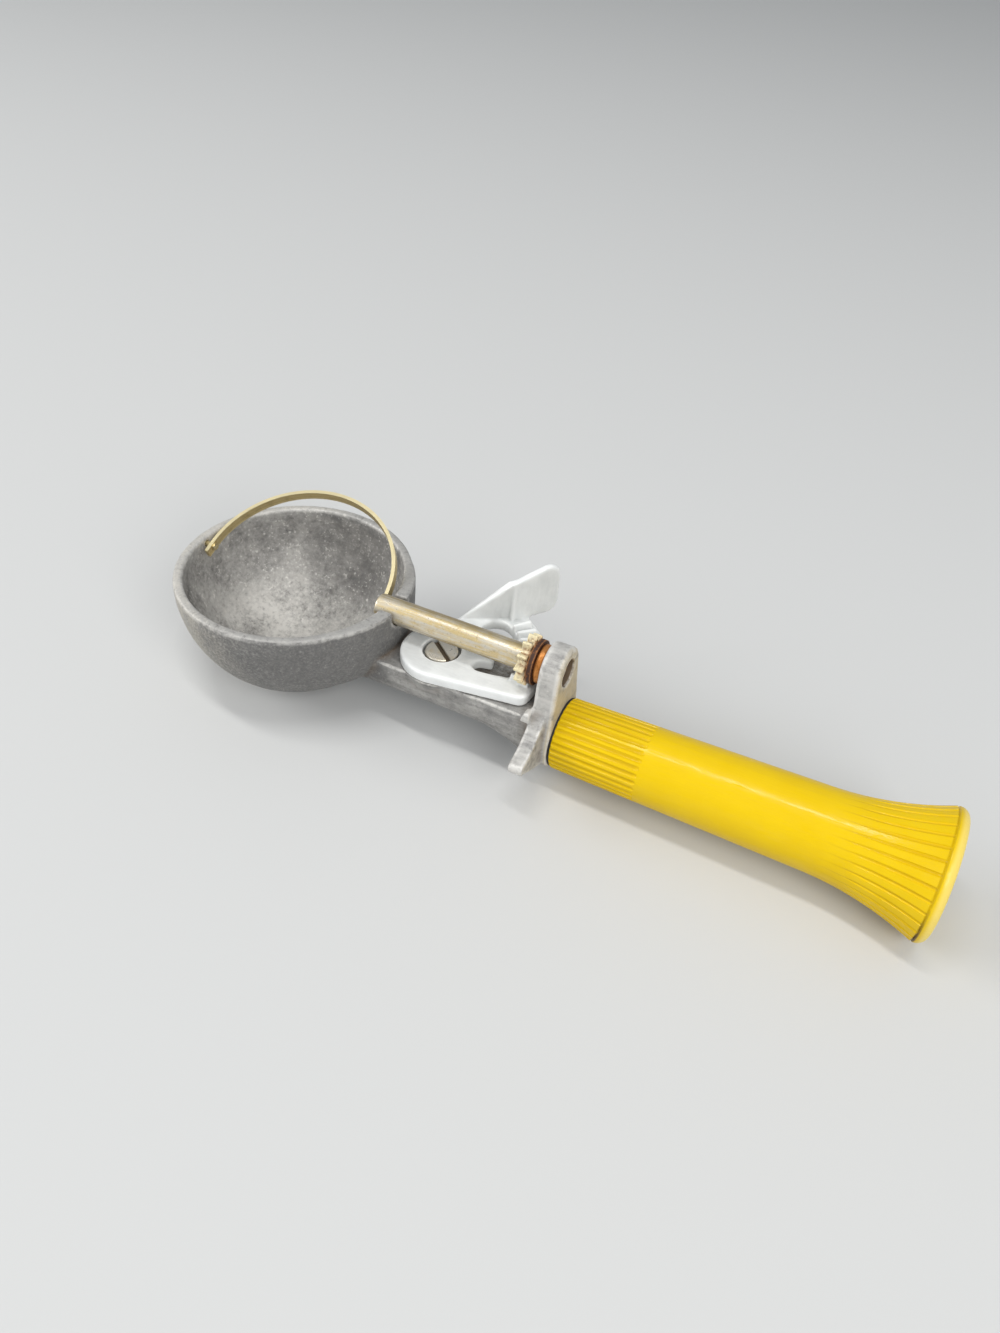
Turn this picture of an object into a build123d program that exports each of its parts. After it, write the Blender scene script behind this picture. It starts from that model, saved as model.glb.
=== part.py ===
from build123d import *
import math
import os

# Ice cream scoop with a thumb lever, in millimetres.
# The origin is the middle of the bowl's sphere. The scraper shaft lies on the X axis, which points
# to the handle. +Y is the side of the thumb paddle and +Z points out of the bowl's mouth.

# Bowl
bowl_inner_radius = 28.0
bowl_wall = 2.5
rim_height = 2.2
rim_round = 0.7
boss_proud = 1.3
boss_step = 3.7
boss_wall_share = 0.5
boss_taper_depth = 12.0

# Scraper shaft
journal_radius = 2.85
seat_step = 0.15
shaft_step = 0.25
shaft_tip_length = 0.2
shaft_notch_gap = 0.25
journal_recess = 1.6
running_gap = 0.05
press_gap = 0.02

# Scraper band
band_gap = 1.35
band_thickness = 0.95
band_width = 2.5
band_rest_angle = 22.5
band_tail = 2.8
rivet_radius = 0.8
rivet_head_radius = 1.15
rivet_head_height = 0.6

# Gear pair: a toothed sector under a pinion
sector_teeth_per_turn = 45
sector_tooth_count = 8
sector_first_tooth = -0.5
pinion_teeth = 11
mesh_radius = 23.65
tooth_addendum_share = 0.70
tooth_dedendum_share = 1.0
sector_tooth_tip_share = 0.115
sector_tooth_root_share = 0.31
pinion_tip_share = 0.10
pinion_pitch_share = 0.19
pinion_root_share = 0.30
pinion_length = 2.6
pinion_collar_length = 0.3
pinion_collar_radius = 4.4
cross_pin_radius = 0.5

# Thumb lever
hub_gap = 1.2
lever_thickness = 3.0
lever_round = 0.6
hub_radius = 10.5
sector_inner_margin = 2.35
sector_outer_margin = 1.65
tooth_end_margin = 0.15
limb_angle = 9.0
limb_width = 6.4
limb_corner_radius = 2.6
opening_corner_share = 0.27
opening_arch_share = 0.58
web_radius = 13.4
slot_radii = (2.0, 2.2)
slot_reach_shares = (1.078, 1.476)
slot_angles = (-3.0, 1.0)
arm_angle = 66.0
arm_offset = 7.9
arm_width = 6.3
paddle_foot_angle = 59.8
paddle_plane_angle = 54.0
paddle_thickness = 2.0
paddle_length = 8.8
paddle_root = 5.2
paddle_height = 14.6
paddle_root_height = 11.9
paddle_peak_share = 0.50
paddle_corner_share = 0.80
paddle_low_radius = 3.6
paddle_high_radius = 3.4
paddle_peak_radius = 2.4
paddle_edge_round = 0.6
ramp_base_shares = ((-0.10, 0.48), (0.17, 0.75), (0.32, 0.725), (0.12, 0.98))
ramp_ridge_shares = ((-0.035, 0.643, 0.07), (0.032, 0.722, 0.13), (0.193, 0.826, 0.38))

# Lever pivot
screw_head_radius = 4.2
screw_head_height = 1.7
screw_head_sink = 0.3
screw_head_gap = 0.7
screw_slot_width = 1.3
screw_slot_depth = 0.9
screw_slot_angle = -38.0
screw_radius = 2.5
screw_floor = 1.4
sleeve_radius = 3.2
head_axial_gap = 0.1
thrust_washer_thickness = 0.3
thrust_washer_width = 1.6

# Return spring
spring_wire = 1.0
spring_turns = 2.5
spring_pitch = 1.5
spring_top_gap = 0.15
spring_hook_wall = 0.15
spring_pocket_wall_gap = 0.4
spring_hook_gap = 0.15
spring_hook = 1.6

# Neck, lug and finger guard
neck_half_width = 8.9
neck_depth = 10.7
neck_bend_length = 17.0
neck_edge_round = 6.5
hub_pad_inset = 0.1
hub_pad_depth = 8.0
hub_pad_taper = 3.2
lug_top_radius = 6.4
lug_thickness = 5.5
lug_edge_round = 0.8
collar_radius = 9.3
guard_reach = 20.0
guard_tip_drop = 17.3
guard_tip_radius = 1.4
guard_thickness = 3.8
guard_root_height_share = 0.28
guard_upper_shares = (0.59, 0.74)
guard_lower_shares = (0.58, 1.32)
gusset_length = 1.9
gusset_width = 2.8
gusset_height = 2.3

# Washer and bush on the shaft, in front of the lug
washer_radius = 5.7
washer_thickness = 1.3
bush_flange_radius = 4.9
bush_flange_thickness = 2.0
bush_wall = 0.6
bush_length = 3.6
stack_gap = 0.05

# Handle
handle_drop = 19.3
ring_thickness = 0.5
ring_radius = 8.9
grip_length = 90.4
grip_front_radius = 9.15
grip_waist_length = 64.0
grip_waist_radius = 10.42
grip_end_radius = 16.0
grip_front_round = 0.5
grip_end_chamfer = 0.35
groove_count = 32
front_groove_radius = 0.75
front_groove_depth = 0.35
front_groove_length = 21.7
rear_groove_radius = 0.5
rear_groove_depth = 0.3
rear_groove_middle_share = 0.9
cap_thickness = 2.8
cap_edge_radius = 2.3
cap_plug_length = 4.0
cap_plug_gap = 0.1

# Tang rod and its nut
rod_radius = 3.0
rod_grip = 12.0
rod_gap = 0.1
nut_pocket_radius = 8.6
nut_pocket_depth = 15.0
tang_washer_gap = 1.0
tang_washer_thickness = 1.2
nut_flats = 10.0
nut_height = 5.0
rod_end_allowance = 1.5

# One overrun serves every cut and every buried joint
overrun = 0.5

# Worked out from the sizes above
bowl_outer_radius = bowl_inner_radius + bowl_wall
boss_reach = bowl_outer_radius + boss_proud
boss_radius = bowl_outer_radius - boss_step
boss_center_x = boss_reach - boss_radius
seat_radius = journal_radius + seat_step
shaft_radius = seat_radius + shaft_step
pivot_x = boss_reach + hub_gap + hub_radius
sector_inner_radius = mesh_radius - pinion_length / 2 - sector_inner_margin
sector_outer_radius = mesh_radius + pinion_length / 2 + sector_outer_margin
sector_tooth_end = mesh_radius + pinion_length / 2 + tooth_end_margin
tooth_angle = 360.0 / sector_teeth_per_turn
tooth_module = 2 * mesh_radius / sector_teeth_per_turn
tooth_addendum = tooth_module * tooth_addendum_share
tooth_dedendum = tooth_module * tooth_dedendum_share
pinion_pitch_radius = tooth_module * pinion_teeth / 2
pinion_tip_radius = pinion_pitch_radius + tooth_addendum
pinion_root_radius = pinion_pitch_radius - tooth_dedendum
sector_tip_z = -pinion_pitch_radius + tooth_addendum
lever_top = -pinion_pitch_radius - tooth_dedendum
lever_bottom = lever_top - lever_thickness
neck_top = lever_bottom - thrust_washer_thickness
neck_bottom = neck_top - neck_depth
pinion_start = pivot_x + mesh_radius - pinion_length / 2
pinion_end = pinion_start + pinion_length
pinion_collar_end = pinion_end + pinion_collar_length
washer_end = pinion_collar_end + stack_gap + washer_thickness
bush_front = washer_end + stack_gap
lug_front = bush_front + bush_flange_thickness
lug_rear = lug_front + lug_thickness
journal_end = lug_rear - journal_recess
bush_bore = journal_radius + running_gap
bush_radius = bush_bore + bush_wall
band_outer_radius = bowl_inner_radius - band_gap
band_inner_radius = band_outer_radius - band_thickness
shaft_tip = band_inner_radius - shaft_tip_length
grip_front = lug_rear + ring_thickness
grip_end = grip_front + grip_length
cap_end = grip_end + cap_thickness
screw_top = lever_top - screw_head_sink
head_bottom = screw_top - screw_head_height
counterbore_floor = head_bottom - head_axial_gap
spring_hook_radius = spring_wire / 2 + spring_hook_gap
spring_radius = screw_head_radius + screw_head_gap + spring_hook_wall + spring_hook_radius
spring_pocket_radius = spring_radius + spring_wire / 2 + spring_pocket_wall_gap
pocket_floor = neck_top - spring_wire * 3 / 2 - spring_pitch * spring_turns - spring_top_gap
screw_end = neck_bottom + screw_floor
nut_seat = grip_end - nut_pocket_depth
tang_washer_radius = nut_pocket_radius - tang_washer_gap
rod_start = lug_rear - rod_grip
rod_end = nut_seat + tang_washer_thickness + nut_height + rod_end_allowance
limb_corner_angle = limb_angle - math.degrees(math.asin(hub_radius / sector_outer_radius))
limb_middle = hub_radius - limb_width / 2
arm_middle = arm_offset - arm_width / 2
opening_near_angle = limb_angle - math.degrees(math.asin((hub_radius - limb_width) / sector_inner_radius))
sector_start_angle = limb_angle - math.degrees(math.asin(limb_middle / sector_outer_radius))
web_start_angle = limb_angle - math.degrees(math.asin(limb_middle / web_radius))
sector_end_angle = arm_angle + math.degrees(math.asin(arm_middle / sector_outer_radius))
HANDLE = Pos(0, 0, -handle_drop)
PIVOT = Pos(pivot_x, 0, 0)
BAND = Rot(band_rest_angle, 0, 0)


def bar_x(radius, start, end):
    """A round bar along the X axis."""
    return Pos((start + end) / 2, 0, 0) * Rot(0, 90, 0) * Cylinder(radius, end - start)


def tube_x(outer, inner, start, end):
    """A round tube along the X axis."""
    return bar_x(outer, start, end) - bar_x(inner, start - overrun, end + overrun)


def bar_z(radius, bottom, top):
    """An upright round bar on the Z axis."""
    return Pos(0, 0, (bottom + top) / 2) * Cylinder(radius, top - bottom)


def block(x_range, y_range, z_range):
    """A rectangular block from its three ranges."""
    ranges = (x_range, y_range, z_range)
    middle = [(low + high) / 2 for low, high in ranges]
    size = [high - low for low, high in ranges]
    return Pos(*middle) * Box(*size)


def polar(radius, angle, z=0.0):
    """A point at a radius and an angle in degrees about the Z axis."""
    turn = math.radians(angle)
    return Vector(radius * math.cos(turn), radius * math.sin(turn), z)


def turned(outline):
    """A solid turned about the Z axis from an outline of radius and height."""
    return revolve(Plane.XZ * make_face(outline), Axis.Z)


def bowl_outside():
    """The bowl's outer form up to its rounded rim, with the boss that carries the shaft."""
    low = (0, -bowl_outer_radius)
    side = (bowl_outer_radius, 0)
    shoulder = (bowl_outer_radius, rim_height - rim_round)
    rim = (bowl_outer_radius - rim_round, rim_height)
    outline = [
        RadiusArc(low, side, -bowl_outer_radius),
        Line(side, shoulder),
        RadiusArc(shoulder, rim, -rim_round),
        Polyline(rim, (0, rim_height), low),
    ]
    taper_end = neck_top - boss_taper_depth
    taper_radius = math.sqrt(bowl_outer_radius**2 - taper_end**2) - boss_center_x - bowl_wall / 2
    boss_rim = (boss_radius - rim_round, rim_height)
    boss_shoulder = (boss_radius, rim_height - rim_round)
    boss_side = (boss_radius, neck_top * boss_wall_share)
    boss_foot = (taper_radius, taper_end)
    boss_outline = [
        Line(boss_side, boss_shoulder),
        RadiusArc(boss_shoulder, boss_rim, -rim_round),
        Polyline(boss_rim, (0, rim_height), (0, taper_end), boss_foot),
        TangentArc(boss_side, boss_foot, tangent=(0, -1)),
    ]
    return turned(outline) + Pos(boss_center_x, 0, 0) * turned(boss_outline)


def bowl_cavity():
    """The hollow of the bowl, open at the top and eased at the rim."""
    low = (0, -bowl_inner_radius)
    side = (bowl_inner_radius, 0)
    shoulder = (bowl_inner_radius, rim_height - rim_round)
    rim = (bowl_inner_radius + rim_round, rim_height)
    top = rim_height + overrun
    outline = [
        RadiusArc(low, side, -bowl_inner_radius),
        Line(side, shoulder),
        RadiusArc(shoulder, rim, rim_round),
        Polyline(rim, (bowl_inner_radius + rim_round, top), (0, top), low),
    ]
    return turned(outline)


def neck():
    """The beam from the bowl to the lug, flat on top and round below."""
    start = bowl_inner_radius - neck_half_width
    low = -handle_drop - neck_half_width
    bend = lug_front - neck_bend_length
    floor = Line((start, 0, neck_bottom), (bend, 0, neck_bottom))
    drop = TangentArc((bend, 0, neck_bottom), (lug_front + overrun, 0, low), tangent=(1, 0, 0))
    rest = Polyline(
        (lug_front + overrun, 0, low),
        (lug_front + overrun, 0, neck_top),
        (start, 0, neck_top),
        (start, 0, neck_bottom),
    )
    side = make_face(floor + drop + rest)
    beam = extrude(side, neck_half_width, both=True)
    low_edges = beam.edges().filter_by(lambda e: e.center().Z < neck_bottom + overrun)
    low_edges = low_edges.filter_by(lambda e: abs(e.center().Y) > neck_half_width / 2)
    return fillet(low_edges, neck_edge_round)


def hub_pad():
    """The round pad on the neck under the lever's hub."""
    top_radius = hub_radius - hub_pad_inset
    pad = Cone(top_radius - hub_pad_taper, top_radius, hub_pad_depth)
    return PIVOT * Pos(0, 0, neck_top - hub_pad_depth / 2) * pad


def lug():
    """The upright that carries the shaft's rear end, with the collar in front of the handle."""
    top = CenterArc((0, 0), lug_top_radius, 0, 360)
    collar = CenterArc((0, -handle_drop), collar_radius, 0, 360)
    outline = Plane.YZ.offset(lug_front) * make_hull([top.edge(), collar.edge()])
    upright = extrude(outline, lug_thickness)
    return fillet(upright.edges().filter_by(Plane.YZ), lug_edge_round)


def finger_guard():
    """The wing on the near side of the lug that keeps the fingers back."""
    tip = guard_tip_radius
    root_z = -handle_drop * guard_root_height_share
    upper_mid = (-guard_reach * guard_upper_shares[0], -guard_tip_drop * guard_upper_shares[1])
    lower_mid = (-guard_reach * guard_lower_shares[0], -guard_tip_drop * guard_lower_shares[1])
    root = (-lug_top_radius, root_z)
    upper_tip = (-guard_reach + tip, -guard_tip_drop + tip)
    end_tip = (-guard_reach, -guard_tip_drop)
    lower_tip = (-guard_reach + tip, -guard_tip_drop - tip)
    heel = (0, -handle_drop - collar_radius + lug_edge_round)
    outline = [
        ThreePointArc(root, upper_mid, upper_tip),
        ThreePointArc(upper_tip, end_tip, lower_tip),
        ThreePointArc(lower_tip, lower_mid, heel),
        Line(heel, root),
    ]
    return extrude(Plane.YZ.offset(lug_front) * make_face(outline), guard_thickness)


def gusset():
    """The small cast web between the neck's top and the lug."""
    near = -neck_half_width - gusset_width / 2
    foot = neck_top - overrun
    points = [
        (x, y, z)
        for y in (near, near + gusset_width)
        for x, z in (
            (lug_front - gusset_length, foot),
            (lug_front + overrun, foot),
            (lug_front + overrun, neck_top + gusset_height),
            (lug_front - gusset_length / 2, neck_top + gusset_height),
        )
    ]
    return ConvexPolyhedron(points)


def frame_casting():
    """Bowl, boss, neck, lug and finger guard as one casting, with its holes."""
    solid = bowl_outside() + neck() + hub_pad() + lug() + finger_guard() + gusset()
    solid -= bowl_cavity()
    notch = shaft_radius + shaft_notch_gap
    slot = bar_x(notch, 0, pivot_x - hub_radius)
    slot += block((0, pivot_x - hub_radius), (-notch, notch), (0, rim_height + shaft_radius))
    reach = (bowl_inner_radius / 2, boss_reach + overrun)
    solid -= slot & block(reach, (-notch, notch), (-notch, notch + rim_height))
    solid -= bar_x(rivet_radius + running_gap, -bowl_outer_radius - overrun, 0)
    solid -= bar_x(bush_radius + press_gap, lug_front - overrun, lug_rear + overrun)
    solid -= PIVOT * bar_z(spring_pocket_radius, pocket_floor, neck_top + overrun)
    solid -= PIVOT * bar_z(screw_radius + press_gap, screw_end - overrun, pocket_floor + overrun)
    solid -= spring_tail_hole()
    solid -= HANDLE * bar_x(rod_radius + press_gap, rod_start - overrun, lug_rear + overrun)
    return solid


def scraper_band():
    """Half a hoop of flat strip, with a tail past the axis at each end."""
    ring = Circle(band_outer_radius) - Circle(band_inner_radius)
    half = Pos(0, band_outer_radius / 2) * Rectangle(2 * band_outer_radius, band_outer_radius)
    strip = ring & half
    middle = (band_outer_radius + band_inner_radius) / 2
    for side in (-1, 1):
        strip += Pos(side * middle, -band_tail / 2) * Rectangle(band_thickness, band_tail)
    band = extrude(strip, band_width / 2, both=True)
    band -= bar_x(rivet_radius + press_gap, -band_outer_radius - overrun, -band_inner_radius + overrun)
    return BAND * band


def front_pivot_rivet():
    """The rivet that carries the band's front end in the bowl's wall."""
    seat = -math.sqrt(band_inner_radius**2 - rivet_head_radius**2)
    shank = bar_x(rivet_radius, -bowl_outer_radius + rim_round, seat + rivet_head_height / 2)
    head = bar_x(rivet_head_radius, seat, seat + rivet_head_height)
    crown = head.edges().sort_by(Axis.X)[-1]
    return shank + fillet(crown, rivet_head_height * 2 / 3)


def scraper_shaft():
    """The rod from the bowl to the lug, slotted at the tip and stepped at the pinion."""
    rod = bar_x(shaft_radius, shaft_tip, pinion_start)
    tip_edge = rod.edges().filter_by(GeomType.CIRCLE).sort_by(Axis.X)[0]
    rod = fillet(tip_edge, shaft_radius / 6)
    rod += bar_x(seat_radius, pinion_start - overrun, pinion_collar_end)
    rod += bar_x(journal_radius, pinion_collar_end - overrun, journal_end)
    slot = block(
        (shaft_tip - overrun, band_outer_radius + press_gap),
        (-shaft_radius - overrun, shaft_radius + overrun),
        (-band_width / 2 - press_gap, band_width / 2 + press_gap),
    )
    return rod - BAND * slot - cross_pin(press_gap)


def pinion():
    """The small gear, with a collar behind the teeth."""
    pitch = 360.0 / pinion_teeth
    points = []
    for tooth in range(pinion_teeth):
        middle = -90.0 + tooth * pitch
        flanks = (
            (pinion_root_radius, -pinion_root_share),
            (pinion_pitch_radius, -pinion_pitch_share),
            (pinion_tip_radius, -pinion_tip_share),
            (pinion_tip_radius, pinion_tip_share),
            (pinion_pitch_radius, pinion_pitch_share),
            (pinion_root_radius, pinion_root_share),
        )
        points += [polar(radius, middle + share * pitch) for radius, share in flanks]
    teeth = Plane.YZ.offset(pinion_start) * make_face(Polyline(*points, close=True))
    gear = extrude(teeth, pinion_length)
    gear += bar_x(pinion_collar_radius, pinion_end - overrun, pinion_collar_end)
    gear -= bar_x(seat_radius + press_gap, pinion_start - overrun, pinion_collar_end + overrun)
    return gear - cross_pin(press_gap)


def cross_pin(gap):
    """The pin's form from a gap between two teeth into the far side, larger by a gap."""
    blind_end = -seat_radius - cross_pin_radius - gap
    middle = (pinion_start + pinion_end) / 2
    return Pos(middle, 0, 0) * bar_z(cross_pin_radius + gap, blind_end, pinion_root_radius + gap)


def pinion_cross_pin():
    """The pin that keys the pinion to the shaft."""
    return cross_pin(0)


def steel_washer():
    """The washer behind the pinion."""
    start = pinion_collar_end + stack_gap
    return tube_x(washer_radius, journal_radius + press_gap, start, washer_end)


def lug_bush():
    """The flanged bush in the lug's bore."""
    flange = bar_x(bush_flange_radius, bush_front, lug_front)
    flange = fillet(flange.edges().filter_by(GeomType.CIRCLE), bush_flange_thickness / 3)
    sleeve = bar_x(bush_radius, lug_front - bush_flange_thickness / 2, lug_front + bush_length)
    return flange + sleeve - bar_x(bush_bore, bush_front - overrun, lug_front + bush_length + overrun)


def lever_wedge(start_angle):
    """The part of the lever's plane between the limb and the arm."""
    reach = 2 * sector_outer_radius
    corners = [(0, 0), polar(reach, start_angle), polar(reach, sector_end_angle)]
    return make_face(Polyline(*corners, close=True))


def opening_slot():
    """The round near end of the lever's opening, which runs into the web beside the hub."""
    ends = zip(slot_radii, slot_reach_shares, slot_angles)
    rounds = [CenterArc(polar(hub_radius * share, angle), radius, 0, 360) for radius, share, angle in ends]
    return make_hull([arc.edge() for arc in rounds])


def lever_plate():
    """The flat casting of hub, web, limb, arm and sector rim, seen from above."""
    disc = Circle(sector_outer_radius)
    reach = sector_outer_radius
    limb = Pos(reach / 2, -limb_middle) * Rectangle(reach, limb_width)
    arm = Pos(reach / 2, arm_middle) * Rectangle(reach, arm_width)
    rim = (disc - Circle(sector_inner_radius)) & lever_wedge(sector_start_angle)
    web = Circle(web_radius) & lever_wedge(web_start_angle)
    bars = Rot(0, 0, limb_angle) * limb + Rot(0, 0, arm_angle) * arm
    plate = Circle(hub_radius) + (bars & disc) + rim + web
    opening = sector_inner_radius - web_radius
    for corner in (polar(sector_inner_radius, opening_near_angle), polar(web_radius, arm_angle)):
        plate = fillet(plate.vertices().sort_by_distance(corner)[0], opening * opening_corner_share)
    arch = polar(sector_inner_radius, arm_angle)
    plate = fillet(plate.vertices().sort_by_distance(arch)[0], opening * opening_arch_share)
    return plate - opening_slot()


def sector_tooth(angle):
    """One radial tooth on top of the sector's rim."""
    points = []
    for radius in (sector_inner_radius, sector_tooth_end):
        for side in (-1, 1):
            root = angle + side * sector_tooth_root_share * tooth_angle
            tip = angle + side * sector_tooth_tip_share * tooth_angle
            points.append(polar(radius, root, lever_top))
            points.append(polar(radius, root, lever_top - overrun))
            points.append(polar(radius, tip, sector_tip_z))
    return ConvexPolyhedron(points)


def paddle_plane():
    """The upright plane of the paddle's near face, with its origin at the paddle's foot."""
    foot = polar(sector_outer_radius, paddle_foot_angle, lever_top)
    along = polar(1, paddle_plane_angle)
    return Plane(origin=foot, x_dir=along, z_dir=(along.Y, -along.X, 0))


def thumb_paddle():
    """The upright plate that the thumb pushes."""
    peak = paddle_length * paddle_peak_share
    corners = (
        (-paddle_root, -overrun),
        (paddle_length, -overrun),
        (paddle_length, paddle_height),
        (peak, paddle_height),
        (-paddle_root, paddle_root_height),
    )
    face = make_face(Polyline(*corners, close=True))
    face = fillet(face.vertices().sort_by_distance((paddle_length, 0))[0], paddle_low_radius)
    high_radius = min(paddle_high_radius, (paddle_length - peak) * paddle_corner_share)
    face = fillet(face.vertices().sort_by_distance((paddle_length, paddle_height))[0], high_radius)
    face = fillet(face.vertices().sort_by_distance((peak, paddle_height))[0], paddle_peak_radius)
    plate = extrude(paddle_plane() * face, -paddle_thickness)
    return fillet(plate.edges().filter_by(lambda e: e.center().Z > lever_top + overrun), paddle_edge_round)


def paddle_ramp():
    """The web that rises from the arm to the back of the paddle."""
    base = lever_top - overrun
    reach = sector_outer_radius
    points = [Vector(x * reach, y * reach, base) for x, y in ramp_base_shares]
    points += [Vector(x * reach, y * reach, lever_top + z * paddle_height) for x, y, z in ramp_ridge_shares]
    plane = paddle_plane()
    for depth in (0, -paddle_thickness):
        points.append(plane.from_local_coords(Vector(-paddle_root, paddle_root_height, depth)))
        points.append(plane.from_local_coords(Vector(0, -overrun, depth)))
    return ConvexPolyhedron(points)


def thumb_lever():
    """Hub, toothed sector, arm and thumb paddle as one casting."""
    plate = Pos(0, 0, lever_bottom) * extrude(lever_plate(), lever_thickness)
    corner = polar(sector_outer_radius, limb_corner_angle, lever_top)
    plate = fillet(plate.edges().filter_by(Axis.Z).sort_by_distance(corner)[0], limb_corner_radius)
    plate = chamfer(plate.faces().sort_by(Axis.Z)[-1].edges(), lever_round / 2)
    for tooth in range(sector_tooth_count):
        plate += sector_tooth((sector_first_tooth + tooth) * tooth_angle)
    plate += thumb_paddle()
    plate += paddle_ramp()
    plate -= bar_z(screw_head_radius + screw_head_gap, counterbore_floor, lever_top + overrun)
    plate -= bar_z(sleeve_radius + running_gap, lever_bottom - overrun, counterbore_floor + overrun)
    hook_top = lever_bottom + spring_hook + spring_hook_gap
    hole = bar_z(spring_hook_radius, lever_bottom - overrun, hook_top)
    plate -= Pos(*polar(spring_radius, 360.0 * spring_turns)) * hole
    return PIVOT * plate


def thrust_washer():
    """The thin washer between the lever's hub and the neck."""
    ring = bar_z(spring_pocket_radius + thrust_washer_width, neck_top, lever_bottom)
    return PIVOT * (ring - bar_z(spring_pocket_radius, neck_top - overrun, lever_bottom + overrun))


def pivot_sleeve():
    """The spacer that the lever turns on, clamped by the screw."""
    sleeve = bar_z(sleeve_radius, pocket_floor, head_bottom)
    return PIVOT * (sleeve - bar_z(screw_radius + press_gap, pocket_floor - overrun, head_bottom + overrun))


def pivot_screw():
    """The slotted screw that holds the lever."""
    head = bar_z(screw_head_radius, head_bottom, screw_top)
    rim = head.edges().filter_by(GeomType.CIRCLE).sort_by(Axis.Z)[-1]
    head = fillet(rim, screw_head_height / 4)
    slot = block(
        (-screw_head_radius - overrun, screw_head_radius + overrun),
        (-screw_slot_width / 2, screw_slot_width / 2),
        (screw_top - screw_slot_depth, screw_top + overrun),
    )
    shank = bar_z(screw_radius, screw_end, head_bottom + overrun)
    return PIVOT * Rot(0, 0, screw_slot_angle) * (head - slot + shank)


def helix_point(turn):
    """A point on the spring's centre line."""
    low = pocket_floor + spring_wire
    return polar(spring_radius, 360.0 * turn, low + spring_pitch * turn)


def helix_tangent(turn):
    """The direction of the spring's centre line."""
    angle = 2 * math.pi * turn
    sweep_rate = 2 * math.pi * spring_radius
    return Vector(-sweep_rate * math.sin(angle), sweep_rate * math.cos(angle), spring_pitch).normalized()


def biarc(start, start_dir, end, end_dir):
    """Two arcs that leave and arrive along the given directions."""
    gap = end - start
    both = start_dir + end_dir
    a = both.dot(both) - 4
    b = -2 * gap.dot(both)
    c = gap.dot(gap)
    reach = (-b - math.sqrt(b * b - 4 * a * c)) / (2 * a)
    first = start + start_dir * reach
    second = end - end_dir * reach
    joint = (first + second) / 2
    return [TangentArc(start, joint, tangent=start_dir), TangentArc(joint, end, tangent=second - first)]


def spring_tail_hole():
    """The hole in the pocket's wall that holds the spring's lower tail."""
    hole = bar_z(spring_hook_radius, pocket_floor - spring_hook, pocket_floor + overrun)
    return PIVOT * Pos(spring_radius, 0, 0) * hole


def return_spring():
    """A torsion spring with a tail down into the neck and a hook up into the hub."""
    wire_radius = spring_wire / 2
    tail_end = pocket_floor - spring_hook + spring_hook_gap
    quarter_turns = int(round(4 * spring_turns))
    edges = []
    for quarter in range(quarter_turns):
        first = quarter / 4
        second = (quarter + 1) / 4
        edges += biarc(helix_point(first), helix_tangent(first), helix_point(second), helix_tangent(second))
    section = Plane(origin=helix_point(0), z_dir=helix_tangent(0)) * Circle(wire_radius)
    coil = sweep(section, path=Wire(edges))
    low = helix_point(0)
    high = helix_point(spring_turns)
    tail = Pos(low.X, low.Y, 0) * bar_z(wire_radius, tail_end, low.Z)
    hook = Pos(high.X, high.Y, 0) * bar_z(wire_radius, high.Z, lever_bottom + spring_hook)
    knuckles = Pos(*low) * Sphere(wire_radius) + Pos(*high) * Sphere(wire_radius)
    return PIVOT * (coil + tail + hook + knuckles)


def handle_ring():
    """The thin ring between the collar and the grip."""
    return HANDLE * tube_x(ring_radius, rod_radius + rod_gap, lug_rear, grip_front)


def grip_outline():
    """The grip's slim cone and its flare, as two edges of length and radius."""
    front = Vector(grip_front, grip_front_radius)
    waist = Vector(grip_front + grip_waist_length, grip_waist_radius)
    cone = Line(front, waist)
    return cone, TangentArc(waist, (grip_end, grip_end_radius), tangent=waist - front)


def groove_rod(path, radius):
    """A rod along a path of length and radius, which cuts one groove."""
    route = Plane.XZ * path
    section = Plane(origin=route @ 0, z_dir=route % 0) * Circle(radius)
    return sweep(section, path=route)


def front_groove():
    """The cutter of one groove along the front of the cone, with a round end."""
    cone = grip_outline()[0]
    lift = Vector(0, front_groove_radius - front_groove_depth)
    start = cone @ 0 + lift - (cone % 0) * overrun
    end = cone @ (front_groove_length / grip_waist_length) + lift
    rod = groove_rod(Line(start, end), front_groove_radius)
    return rod + Pos(end.X, 0, end.Y) * Sphere(front_groove_radius)


def rear_groove():
    """The cutter of one fine groove on the flare, which fades where the flare begins."""
    flare = grip_outline()[1]
    middle_normal = (flare % (1 / 2)).rotate(Axis.Z, 90)
    end_normal = (flare % 1).rotate(Axis.Z, 90)
    middle_lift = rear_groove_radius - rear_groove_depth * rear_groove_middle_share
    start = flare @ 0 + Vector(0, rear_groove_radius + overrun)
    middle = flare @ (1 / 2) + middle_normal * middle_lift
    end = flare @ 1 + end_normal * (rear_groove_radius - rear_groove_depth) + (flare % 1) * overrun
    return groove_rod(ThreePointArc(start, middle, end), rear_groove_radius)


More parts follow.
